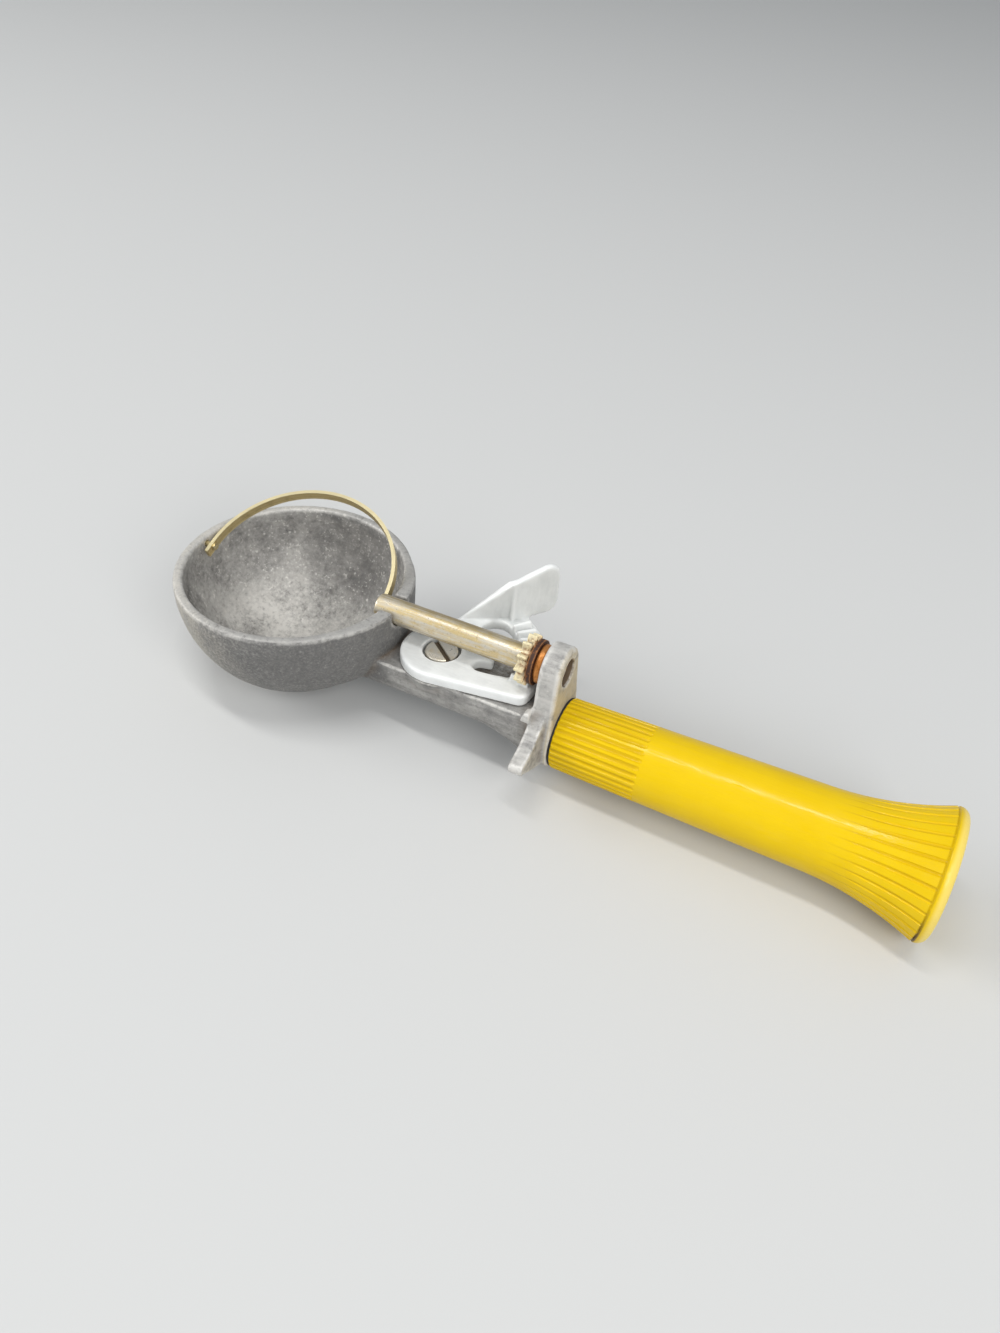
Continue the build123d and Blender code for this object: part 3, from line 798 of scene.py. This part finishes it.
def casting_zones(finish):
    """Where the casting's finish changes: each zone is 1 inside and 0 outside."""
    x, y, z = finish.axes()
    radius = finish.length(finish.place)
    inside = radius.step(*BOWL_INSIDE)
    bowl = radius.step(*BOWL_AROUND)
    lug = x.step(*LUG_START)
    well = z.step(*WELL_FLOOR) * x.step(*WELL_FRONT) * x.step(*WELL_REAR) * abs(y).step(*WELL_SIDE)
    return SimpleNamespace(
        inside=inside,
        bowl=bowl,
        sandy=bowl * (1 - inside),
        rim=z.step(*RIM_EDGE) * bowl,
        neck=x.step(*NECK_START),
        lug=lug,
        lug_rear=x.step(*LUG_REAR),
        bore=finish.from_axis(finish.place, ACROSS_X).step(*LUG_BORE) * lug,
        well=well,
        painted_warm_light=x.step(*PAINTED_WARM_LIGHT_FRONT),
        pale=x.step(*PAINTED_LIGHT_FRONT),
        shade=x.step(*SHADE_REAR) * z.step(*SHADE_HEIGHT),
        painted_light_inside_front=x.step(*PAINTED_LIGHT_INSIDE_FRONT),
        painted_light_inside_floor=z.step(*PAINTED_LIGHT_INSIDE_FLOOR),
    )


def casting_noises(finish):
    """The casting's marks, from broad clouds to fine grain."""
    return SimpleNamespace(
        clouds=finish.noise(12 * MM, 4, 0.6),
        patches=finish.noise(4 * MM, 5, 0.68),
        speckle=finish.noise(1.3 * MM, 5, 0.75),
        grain=finish.noise(0.6 * MM, 3, 0.7),
        dots=finish.noise(0.75 * MM, 2, 0.5),
        drawn=finish.streaks((9 * MM, 1.6 * MM, 1.6 * MM), 4, 0.6),
    )


def bare_aluminium(finish, tint, zone, marks):
    """The casting's mottled greys with painted light and shade on the bowl, before the bright spots,
    stains and rubbed edges.
    """
    even = marks.clouds * 0.35 + marks.patches * 0.45 + marks.drawn * 0.2
    share = even + zone.sandy * (marks.speckle * 0.3 + marks.grain * 0.4 - even * 0.7)
    share = share + zone.neck * (0.53 - share) * 0.55 + zone.lug * 0.05
    body = finish.mix(share.step(0.40, 0.60), tint["oxide"], tint["aluminium"])
    glint = marks.grain.step(0.5, 0.66) * (zone.sandy * 0.12 + 0.08)
    body = finish.mix(glint, body, tint["worn_aluminium"])
    streaky = zone.neck * (marks.drawn * 0.6 + marks.patches * 0.4).step(0.3, 0.75)
    body = finish.mix(streaky * 0.5, body, tint["worn_aluminium"])
    # Painted warm light on the bowl's outside towards the front, in the stain colour
    painted_warm_light = zone.painted_warm_light * (marks.patches * 0.5 + marks.grain * 0.5).step(0.35, 0.6) * (1 - zone.inside)
    body = finish.mix(painted_warm_light * 0.3, body, tint["stain"])
    # Painted light: the bowl's outside paler towards the front, where light falls from the left
    pale = zone.pale * zone.sandy * (0.3 + 0.7 * marks.speckle)
    body = finish.mix(pale * 0.5, body, tint["worn_aluminium"])
    # Painted shade: the bowl's outside darker towards the rear, fading out towards the bottom
    shade = zone.shade * zone.sandy * marks.clouds.step(0.1, 0.5)
    body = finish.mix(shade * 0.65, body, tint["oxide"])
    # Partly polish, partly painted light: the bowl's inside lighter towards the front and the floor,
    # broken up in clouds
    polish_and_painted_light = zone.inside * (0.08 + 0.2 * zone.painted_light_inside_front + 0.42 * zone.painted_light_inside_floor)
    polish_and_painted_light = polish_and_painted_light * (marks.clouds * 0.5 + marks.speckle * 0.5).step(0.28, 0.66)
    body = finish.mix(polish_and_painted_light * 1.8, body, tint["worn_aluminium"])
    mottle = marks.speckle.step(0.46, 0.32) * (0.5 - 0.25 * zone.inside - 0.3 * zone.sandy)
    return finish.mix(mottle, body, tint["oxide"])


def aluminium_finish(tint):
    """Dull cast aluminium: clouded in the bowl, rubbed on rim and edges, stained by the handle; painted
    light and shade.
    """
    finish = Finish("cast_aluminium", metallic=0.3)
    zone = casting_zones(finish)
    marks = casting_noises(finish)
    edge = finish.attribute("edge")
    hollow = finish.attribute("hollow")
    body = bare_aluminium(finish, tint, zone, marks)
    spots = marks.dots.step(0.58, 0.66) * marks.patches.step(0.44, 0.58) * zone.inside
    bright = marks.speckle.step(0.58, 0.70) * marks.clouds.step(0.3, 0.6) * (0.6 - 0.3 * zone.sandy)
    bright = bright.either(spots)
    body = finish.mix(bright * 0.75, body, tint["worn_aluminium"])
    drawn_lug = zone.lug * (marks.patches * 0.5 + marks.drawn * 0.5).step(0.3, 0.65)
    body = finish.mix(drawn_lug * 0.35, body, tint["worn_aluminium"])
    stained = zone.lug_rear * marks.patches.step(0.25, 0.5)
    body = finish.mix(stained * 0.6, body, tint["stain"])
    # Painted shade in the neck's well, and darker in the lug's bore and the casting's hollows, in the
    # dirt colour
    painted_shade_and_dark_hollows = zone.well * marks.speckle.step(0.6, 0.4) * 0.6
    painted_shade_and_dark_hollows = painted_shade_and_dark_hollows.either(zone.bore).either(hollow * 0.8)
    body = finish.mix(painted_shade_and_dark_hollows * 0.85, body, tint["dirt"])
    worn_edge = edge.step(0.25, 0.75) * marks.patches.step(0.3, 0.6) * (1 - 0.4 * zone.bowl)
    rubbed = (zone.rim * 0.5).either(worn_edge) * marks.speckle.step(0.2, 0.5)
    body = finish.mix(rubbed * 0.8, body, tint["worn_aluminium"])
    rough = 0.64 - 0.16 * rubbed - 0.14 * bright
    height = marks.speckle * 0.6 + marks.grain * 0.25 + zone.sandy * marks.grain * 0.15
    relief = finish.bump(height, 0.16 * MM, 0.8)
    return finish.give(base_color=body, roughness=rough, normal=relief)


def zinc_finish(tint):
    """Satin die-cast zinc with faint clouds, dark corners and pale rubbed edges."""
    finish = Finish("zinc_lever", metallic=0.1)
    clouds = finish.noise(6 * MM, 4, 0.6)
    drag = finish.streaks((4 * MM, 0.8 * MM, 4 * MM), 3, 0.6)
    grain = finish.noise(0.4 * MM, 3, 0.6)
    edge = finish.attribute("edge")
    hollow = finish.attribute("hollow")
    body = finish.mix(clouds.step(0.6, 0.3) * 0.25, tint["zinc"], tint["dull_zinc"])
    body = finish.mix(drag.step(0.6, 0.35) * 0.12, body, tint["dull_zinc"])
    body = finish.mix(hollow * 0.7, body, tint["dull_zinc"])
    body = finish.mix(edge * 0.6, body, tint["pale_zinc"])
    rough = 0.42 + 0.16 * clouds + 0.06 * drag
    relief = finish.bump(grain + drag * 0.5, 0.03 * MM, 0.5)
    return finish.give(base_color=body, roughness=rough, normal=relief)


def band_finish(tint):
    """Strip brass: rubbed bright along its edges, a thin brown film on its faces, scratches along it."""
    finish = Finish("brass_band", metallic=0.8)
    across = finish.vector("DOT_PRODUCT", finish.place, BAND_ACROSS, "Value")
    radius = finish.length(finish.place)
    lines = finish.noise(1.0, 3, 0.6, finish.joined(across / (0.12 * MM), radius / (0.4 * MM)))
    clouds = finish.noise(3 * MM, 4, 0.65)
    film = radius.step(*BAND_FACE) * 0.1 + clouds.step(0.5, 0.75) * 0.22
    rub = abs(across).step(*BAND_EDGE)
    body = finish.mix(lines.step(0.35, 0.7), tint["brass"], tint["pale_brass"])
    body = finish.mix(film * (1 - rub), body, tint["dark_brass"])
    body = finish.mix(rub * 0.8, body, tint["pale_brass"])
    rough = 0.30 + 0.2 * clouds + 0.10 * film
    relief = finish.bump(lines, 0.02 * MM, 0.4)
    return finish.give(base_color=body, roughness=rough, normal=relief)


def shaft_finish(tint):
    """Plated rod, worn through to brass in streaks along its length, with a painted dark reflection
    along its upper and lower sides.
    """
    finish = Finish("plated_shaft", metallic=0.65)
    streaks = finish.streaks((14 * MM, 0.9 * MM, 0.9 * MM), 4, 0.6)
    hairs = finish.streaks((7 * MM, 0.14 * MM, 0.14 * MM), 2, 0.5)
    clouds = finish.noise(2.2 * MM, 5, 0.65)
    pits = finish.noise(0.6 * MM, 3, 0.6)
    worn = (streaks * 0.75 + clouds * 0.35).step(0.45, 0.68)
    height = finish.vector("DOT_PRODUCT", finish.place, SHAFT_ASLANT, "Value")
    # Painted dark reflection along the shaft's upper far side and its underside, broken up in streaks
    film = height.step(*PAINTED_REFLECTION_TOP).either(height.step(*PAINTED_REFLECTION_UNDER)) * streaks.step(0.25, 0.6)
    body = finish.mix(worn * 0.8 + 0.06, tint["nickel"], tint["brass"])
    body = finish.mix(hairs.step(0.55, 0.75) * 0.4, body, tint["pale_brass"])
    body = finish.mix(pits.step(0.42, 0.28) * 0.6, body, tint["pale_brass"])
    marks = (clouds.step(0.64, 0.8) * 0.5).either(pits.step(0.60, 0.72) * 0.5)
    body = finish.mix((film * 0.55).either(marks), body, tint["dark_brass"])
    rough = 0.28 + 0.18 * clouds + 0.10 * film
    relief = finish.bump(hairs + pits, 0.03 * MM, 0.4)
    return finish.give(base_color=body, roughness=rough, normal=relief)


def rivet_finish(tint):
    """Turned brass with a clouded, tarnished skin."""
    finish = Finish("brass_rivet", metallic=1.0)
    clouds = finish.noise(0.8 * MM, 4, 0.6)
    body = finish.mix(clouds.step(0.4, 0.7), tint["pale_brass"], tint["brass"])
    body = finish.mix(clouds.step(0.6, 0.8) * 0.6, body, tint["dark_brass"])
    relief = finish.bump(clouds, 0.03 * MM, 0.5)
    return finish.give(base_color=body, roughness=0.25 + 0.2 * clouds, normal=relief)


def pinion_finish(tint):
    """Pale gear metal under a crust, rubbed on its teeth, rusted in its gaps and by the washer."""
    finish = Finish("brassy_gear", metallic=0.3)
    x = finish.axes()[0]
    crust = finish.noise(0.8 * MM, 5, 0.7)
    clouds = finish.noise(2.2 * MM, 4, 0.6)
    edge = finish.attribute("edge")
    hollow = finish.attribute("hollow")
    rusty = (x.step(*PINION_REAR) * 0.7 + clouds * 0.7).step(0.60, 1.0)
    rusty = rusty.either(hollow * clouds.step(0.3, 0.6))
    body = finish.mix(crust.step(0.42, 0.68), tint["crust"], tint["pale_brass"])
    body = finish.mix(rusty * crust.step(0.3, 0.5) * 0.85, body, tint["rust"])
    dark = (crust.step(0.60, 0.75) * 0.6).either(hollow * 0.5)
    body = finish.mix(dark, body, tint["dark_rust"])
    body = finish.mix(edge * 0.7, body, tint["pale_brass"])
    relief = finish.bump(crust, 0.25 * MM, 0.9)
    return finish.give(base_color=body, roughness=0.45 + 0.3 * rusty, normal=relief)


def rust_finish(tint):
    """Brown rust over a steel washer, with a painted highlight in copper along its rim, and bare
    patches.
    """
    finish = Finish("rusted_steel", metallic=0.35)
    x = finish.axes()[0]
    crust = finish.noise(0.7 * MM, 5, 0.7)
    clouds = finish.noise(2.2 * MM, 3, 0.6)
    rim = finish.from_axis(finish.place, ACROSS_X).step(*WASHER_RIM)
    # Painted highlight in copper along the washer's rim corners, with some bare patches over the face
    corner = rim * x.step(*WASHER_FRONT).either(x.step(*WASHER_REAR))
    painted_highlight_and_bare = (corner * crust.step(0.3, 0.5)).either(clouds.step(0.66, 0.78))
    body = finish.mix(crust.step(0.5, 0.75), tint["dark_rust"], tint["rust"])
    body = finish.mix(painted_highlight_and_bare * 0.35, body, tint["copper"])
    relief = finish.bump(crust, 0.1 * MM, 0.8)
    return finish.give(base_color=body, roughness=0.5 + 0.3 * crust, normal=relief)


def bush_finish(tint):
    """Copper-coloured bush, rusty in patches, with painted shade towards its underside."""
    finish = Finish("copper_bush", metallic=0.9)
    clouds = finish.noise(1.8 * MM, 5, 0.65)
    low = finish.axes()[2].step(*BUSH_SHADED_UNDERSIDE)
    body = finish.mix(clouds.step(0.45, 0.7), tint["copper"], tint["rust"])
    # Painted shade: the bush darker towards its underside, broken up in clouds
    body = finish.mix((low * 0.8 + clouds * 0.5).step(0.75, 1.2), body, tint["dark_rust"])
    relief = finish.bump(clouds, 0.05 * MM, 0.5)
    return finish.give(base_color=body, roughness=0.34 + 0.3 * clouds, normal=relief)


def screw_finish(tint):
    """Bright nickel screw with turning rings on its head, darker in its slot and dirty in clouds."""
    finish = Finish("nickel_screw", metallic=0.5)
    low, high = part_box("pivot_screw")
    middle = (low + high) / 2
    local = finish.vector("SUBTRACT", finish.place, (middle.x, middle.y, high.z))
    radius = finish.from_axis(local, ACROSS_Z)
    rings = finish.noise(1.0, 2, 0.5, finish.joined(radius / (0.15 * MM)))
    clouds = finish.noise(1.6 * MM, 4, 0.6)
    deep = finish.axes(local)[2].step(*SCREW_SLOT)
    body = finish.mix(clouds.step(0.45, 0.75) * 0.4, tint["nickel"], tint["brass"])
    # Darker in the slot, and dirt in clouds over the head
    dark_slot_and_dirt = deep.either(clouds.step(0.68, 0.82) * 0.7)
    body = finish.mix(dark_slot_and_dirt * 0.85, body, tint["dirt"])
    rough = 0.22 + 0.14 * clouds + 0.3 * deep
    relief = finish.bump(rings, 0.02 * MM, 0.5)
    return finish.give(base_color=body, roughness=rough, normal=relief)


def steel_finish(name, tint):
    """Drawn or turned steel with a thin brown film."""
    finish = Finish(name, metallic=1.0)
    size = STEEL_CLOUDS[name]
    clouds = finish.noise(size, 4, 0.65)
    hairs = finish.streaks((size * 3, size / 8, size / 8), 2, 0.5)
    body = finish.mix(clouds.step(0.55, 0.75) * 0.6, tint["steel"], tint["dark_rust"])
    body = finish.mix(hairs.step(0.6, 0.8) * 0.4, body, tint["worn_aluminium"])
    relief = finish.bump(hairs, 0.015 * MM, 0.4)
    return finish.give(base_color=body, roughness=0.3 + 0.25 * clouds, normal=relief)


def ring_finish(tint):
    """Black pressed fibre with dusty specks."""
    finish = Finish("black_ring", metallic=0.0)
    fibre = finish.noise(0.4 * MM, 4, 0.7)
    body = finish.mix(fibre.step(0.55, 0.75) * 0.5, tint["black"], tint["dirt"])
    relief = finish.bump(fibre, 0.05 * MM, 0.6)
    return finish.give(base_color=body, roughness=0.55 + 0.3 * fibre, normal=relief)


class Plastic(Finish):
    """The handle's plastic: its scratches, its clouds and the colour that grip and cap share."""

    def __init__(self, name, tint):
        super().__init__(name, metallic=0.0, specular_ior_level=0.08, coat_roughness=0.2)
        self.scratches = self.streaks((6 * MM, 0.25 * MM, 0.25 * MM), 3, 0.6)
        self.clouds = self.noise(10 * MM, 4, 0.6)
        self.coat = 0.42 * self.scratches.step(0.62, 0.42)
        body = self.mix(self.clouds.step(0.3, 0.75) * 0.25, tint["yellow"], tint["worn_yellow"])
        self.body = self.mix(self.scratches.step(0.62, 0.8) * 0.2, body, tint["worn_yellow"])

    def seam(self, x, z, zone, grimy):
        """Dirt at the seam between grip and cap, most of it underneath."""
        return x.step(*zone) * (z.step(*HANDLE_UNDER) + 0.25) * grimy.step(0.2, 0.5)


def grip_finish(tint):
    """Yellow plastic: a faint ochre darkening in the grooves, dirt in the seam, and fine scratches along
    it.
    """
    finish = Plastic("yellow_plastic", tint)
    x, y, z = finish.axes()
    angle = y.maths("ARCTAN2", y, z - HANDLE_Z) * (GROOVES / math.tau)
    from_groove = abs(angle.maths("FRACT", angle + 0.5) - 0.5)
    front = x.step(*FRONT_GROOVES) * from_groove.step(*FRONT_GROOVE_SHARES)
    rear = x.step(*REAR_GROOVES) * from_groove.step(*REAR_GROOVE_SHARES)
    grimy = finish.noise(3 * MM, 4, 0.65)
    # Darker ochre in the grooves, broken up in patches
    grooves = (front * 0.5).either(rear * 0.45) * (0.4 + 0.6 * grimy)
    body = finish.mix(grooves, finish.body, tint["ochre"])
    body = finish.mix(finish.seam(x, z, GRIP_SEAM, grimy) * 0.8, body, tint["dirt"])
    rough = 0.36 + 0.12 * finish.clouds + 0.10 * finish.scratches.step(0.5, 0.75)
    relief = finish.bump(finish.scratches, 0.03 * MM, 0.4)
    return finish.give(base_color=body, roughness=rough, coat_weight=finish.coat, normal=relief)


def cap_finish(tint):
    """Smooth yellow cap with a pale rubbed rim and dirt at its seam."""
    finish = Plastic("yellow_cap", tint)
    x, _, z = finish.axes()
    grimy = finish.noise(2.0 * MM, 4, 0.65)
    low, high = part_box("butt_cap")
    flare = (high.z - low.z) / 2
    local = finish.vector("SUBTRACT", finish.place, (0, 0, HANDLE_Z))
    outer = finish.from_axis(local, ACROSS_X).step(0.7 * flare, 0.95 * flare)
    rub = x.step(*CAP_RUB) * (0.15 + 0.85 * outer) * (0.7 + 0.3 * grimy)
    body = finish.mix(rub * 0.85, finish.body, tint["pale_yellow"])
    body = finish.mix(finish.seam(x, z, CAP_SEAM, grimy) * 0.8, body, tint["dirt"])
    rough = 0.32 + 0.14 * finish.clouds + 0.1 * grimy
    relief = finish.bump(grimy, 0.03 * MM, 0.35)
    return finish.give(base_color=body, roughness=rough, coat_weight=finish.coat, normal=relief)


class SCOOP_OT_casting(bpy.types.Operator):
    """Bowl, neck, lug and finger guard as one casting with soft corners and a dull skin"""

    bl_idname = "scoop.casting"
    bl_label = "Bowl and neck casting"

    def execute(self, context):
        sizes = context.scene.scoop_sizes
        skin = Skin("frame_casting", sizes.casting_voxel)
        x, y, z = skin.points.T
        radius = np.linalg.norm(skin.points, axis=1)
        outside = step(radius, *BOWL_OUTSIDE)
        clear = step(np.hypot(y, z), *BUSH_CLEAR)
        clear *= step(np.hypot(x - PIVOT_X, y), *SCREW_CLEAR)
        clear *= step(np.hypot(y, z - HANDLE_Z), *ROD_CLEAR)
        shoulder = outside * step(z, *SHOULDER_HEIGHT) * step(radius, *SHOULDER_REACH)
        shoulder *= step(np.abs(y), *SHOULDER_SIDE)
        uneven = step(radius, *UNEVEN_WALL) * (1 - BOWL_WAVE_SHARE) + BOWL_WAVE_SHARE
        skin.soften_all(sizes.casting_edge)
        skin.fill_corners(sizes.casting_fillet, outside * step(z, *BELOW_RIM) * clear)
        skin.soften(sizes.bowl_blend, shoulder)
        height = waves(skin.points, CASTING_WAVES) * uneven
        skin.lift(height * clear * sizes.casting_wave)
        material = aluminium_finish(tones(context))
        skin.put("bowl_and_neck", "frame", material)
        skin.note_edges(CASTING_EDGE_REACH)
        return {"FINISHED"}


class SCOOP_OT_lever(bpy.types.Operator):
    """Thumb lever as a zinc casting with soft edges and a swept paddle"""

    bl_idname = "scoop.lever"
    bl_label = "Thumb lever"

    def execute(self, context):
        sizes = context.scene.scoop_sizes
        skin = Skin("thumb_lever", sizes.lever_voxel)
        x, y, z = skin.points.T
        reach = np.hypot(x - PIVOT_X, y)
        teeth = step(reach, *TEETH_INNER) * step(reach, *TEETH_OUTER)
        teeth = teeth * step(z, *TEETH_HEIGHT) * step(y, *TEETH_SIDE)
        plain = (1 - teeth) * step(reach, *HUB_CLEAR)
        turn = math.cos(PADDLE_TURN), math.sin(PADDLE_TURN)
        along = (x - PADDLE_FOOT.x) * turn[0] + (y - PADDLE_FOOT.y) * turn[1]
        rise = z - LEVER_TOP
        blend = step(along, *BLEND_NEAR) * step(along, *BLEND_FAR)
        blend *= step(rise, *BLEND_FOOT) * step(rise, *BLEND_TOP)
        skin.soften_all(sizes.lever_edge)
        skin.soften(sizes.lever_round, plain)
        skin.fill_corners(sizes.lever_sweep, step(z, *ABOVE_PLATE) * plain)
        skin.soften(sizes.paddle_blend, blend * (1 - teeth))
        skin.soften(sizes.paddle_round, step(y, *ARM_OUTER) * (1 - teeth))
        skin.lift(waves(skin.points, LEVER_WAVES) * sizes.lever_wave)
        skin.put("zinc_thumb_lever", "lever", zinc_finish(tones(context)))
        skin.note_edges(LEVER_EDGE_REACH)
        return {"FINISHED"}


class SCOOP_OT_scraper(bpy.types.Operator):
    """Finishes of the scraper band, its shaft and its front rivet"""

    bl_idname = "scoop.scraper"
    bl_label = "Scraper band and shaft"

    def execute(self, context):
        tint = tones(context)
        dress(band_finish(tint), "scraper_band")
        dress(shaft_finish(tint), "scraper_shaft")
        dress(rivet_finish(tint), "front_pivot_rivet")
        return {"FINISHED"}


class SCOOP_OT_gear_stack(bpy.types.Operator):
    """Crusted pinion, and finishes of its pin, the washer and the bush"""

    bl_idname = "scoop.gear_stack"
    bl_label = "Pinion, washer and bush"

    def execute(self, context):
        tint = tones(context)
        sizes = context.scene.scoop_sizes
        skin = Skin("pinion", sizes.pinion_voxel)
        _, y, z = skin.points.T
        clear = step(np.hypot(y, z), *PINION_CLEAR)
        skin.soften(sizes.pinion_wear, clear)
        height = waves(skin.points, PINION_WAVES) - CRUST_SINK_SHARE
        skin.lift(height * clear * sizes.pinion_crust)
        skin.put("crusted_pinion", "scraper", pinion_finish(tint))
        skin.note_edges(PINION_EDGE_REACH)
        dress(rust_finish(tint), "steel_washer")
        dress(bush_finish(tint), "lug_bush")
        dress(steel_finish("plain_steel_pin", tint), "pinion_cross_pin")
        return {"FINISHED"}


class SCOOP_OT_pivot(bpy.types.Operator):
    """Finishes of the pivot screw, its sleeve and washer, and the return spring"""

    bl_idname = "scoop.pivot"
    bl_label = "Lever pivot"

    def execute(self, context):
        tint = tones(context)
        dress(screw_finish(tint), "pivot_screw")
        dress(steel_finish("plain_steel", tint), "pivot_sleeve", "thrust_washer")
        dress(steel_finish("spring_steel", tint), "return_spring")
        return {"FINISHED"}


class SCOOP_OT_handle(bpy.types.Operator):
    """Finishes of the grip, its cap and ring, and the rod inside"""

    bl_idname = "scoop.handle"
    bl_label = "Handle"

    def execute(self, context):
        tint = tones(context)
        dress(grip_finish(tint), "handle_grip")
        dress(cap_finish(tint), "butt_cap")
        dress(ring_finish(tint), "handle_ring")
        dress(steel_finish("rod_steel", tint), "tang_rod", "tang_washer", "tang_nut")
        return {"FINISHED"}


class SCOOP_OT_stage(bpy.types.Operator):
    """Plain floor, soft light and the camera"""

    bl_idname = "scoop.stage"
    bl_label = "Floor, light and camera"

    def execute(self, context):
        stage = context.scene.scoop_stage
        self.floor(context, stage)
        self.surroundings(context, stage)
        for name, power, size, place in LAMPS:
            self.lamp(context, name, getattr(stage, power), size, place)
        self.camera(context, stage)
        context.scene.view_settings.view_transform = "Standard"
        return {"FINISHED"}

    def floor(self, context, stage):
        """A wide plane under the bowl and the butt, where the scoop would lie."""
        bowl_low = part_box("frame_casting")[0].z
        cap_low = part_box("butt_cap")[0]
        rise = math.atan2(bowl_low - cap_low.z, cap_low.x)
        corners = [
            (-FLOOR_REACH, -FLOOR_REACH, 0),
            (FLOOR_REACH, -FLOOR_REACH, 0),
            (FLOOR_REACH, FLOOR_REACH, 0),
            (-FLOOR_REACH, FLOOR_REACH, 0),
        ]
        mesh = bpy.data.meshes.new("floor")
        mesh.from_pydata(corners, [], [(0, 1, 2, 3)])
        floor = bpy.data.objects.new("floor", mesh)
        context.scene.collection.objects.link(floor)
        down = Vector((-math.sin(rise), 0, -math.cos(rise)))
        floor.rotation_euler = (0, rise, 0)
        floor.location = down * -bowl_low
        finish = Finish("plain_floor", base_color=(*stage.floor, 1.0), roughness=0.8)
        mesh.materials.append(finish.material)

    def surroundings(self, context, stage):
        """Soft even light from all round."""
        world = bpy.data.worlds.new("surroundings")
        world.use_nodes = True
        context.scene.world = world
        background = world.node_tree.nodes["Background"]
        background.inputs["Color"].default_value = (*stage.sky, 1.0)
        background.inputs["Strength"].default_value = stage.sky_level

    def lamp(self, context, name, power, size, place):
        """A flat soft lamp that faces the scoop."""
        light = bpy.data.lights.new(name, "AREA")
        light.energy = power
        light.shape = "RECTANGLE"
        light.size, light.size_y = size
        lamp = bpy.data.objects.new(name, light)
        context.scene.collection.objects.link(lamp)
        aim = (CAD_LOW + CAD_HIGH) / 2
        lamp.location = place
        lamp.rotation_mode = "QUATERNION"
        lamp.rotation_quaternion = (Vector(place) - aim).to_track_quat("Z", "Y")

    def camera(self, context, stage):
        """The camera, whose sensor spans the picture's longer side."""
        data = bpy.data.cameras.new("camera")
        data.lens = data.sensor_width * stage.focal / max(IMAGE_WIDTH, IMAGE_HEIGHT)
        data.clip_start = CLIP_START
        camera = bpy.data.objects.new("camera", data)
        context.scene.collection.objects.link(camera)
        level = math.cos(stage.elevation)
        back = Vector(
            (
                math.sin(stage.azimuth) * level,
                -math.cos(stage.azimuth) * level,
                math.sin(stage.elevation),
            )
        )
        lean = Quaternion((0, 0, 1), stage.roll)
        camera.location = stage.eye
        camera.rotation_mode = "QUATERNION"
        camera.rotation_quaternion = back.to_track_quat("Z", "Y") @ lean
        context.scene.camera = camera


class SCOOP_PT_pieces(bpy.types.Panel):
    """Lists the scoop's pieces"""

    bl_idname = "SCOOP_PT_pieces"
    bl_label = "Ice cream scoop"
    bl_space_type = "VIEW_3D"
    bl_region_type = "UI"
    bl_category = "Scoop"

    def draw(self, context):
        for operator in OPERATORS:
            self.layout.operator(operator.bl_idname)


OPERATORS = (
    SCOOP_OT_casting,
    SCOOP_OT_lever,
    SCOOP_OT_scraper,
    SCOOP_OT_gear_stack,
    SCOOP_OT_pivot,
    SCOOP_OT_handle,
    SCOOP_OT_stage,
)
GROUPS = {"scoop_sizes": ScoopSizes, "scoop_colours": ScoopColours, "scoop_stage": ScoopStage}


def register():
    for cls in (*GROUPS.values(), *OPERATORS, SCOOP_PT_pieces):
        bpy.utils.register_class(cls)
    for name, group in GROUPS.items():
        setattr(bpy.types.Scene, name, PointerProperty(type=group))


def unregister():
    for name in GROUPS:
        delattr(bpy.types.Scene, name)
    for cls in (SCOOP_PT_pieces, *reversed(OPERATORS), *GROUPS.values()):
        bpy.utils.unregister_class(cls)


def main():
    register()
    bpy.ops.scoop.casting()
    bpy.ops.scoop.lever()
    bpy.ops.scoop.scraper()
    bpy.ops.scoop.gear_stack()
    bpy.ops.scoop.pivot()
    bpy.ops.scoop.handle()
    bpy.ops.scoop.stage()


if __name__ == "__main__":
    main()
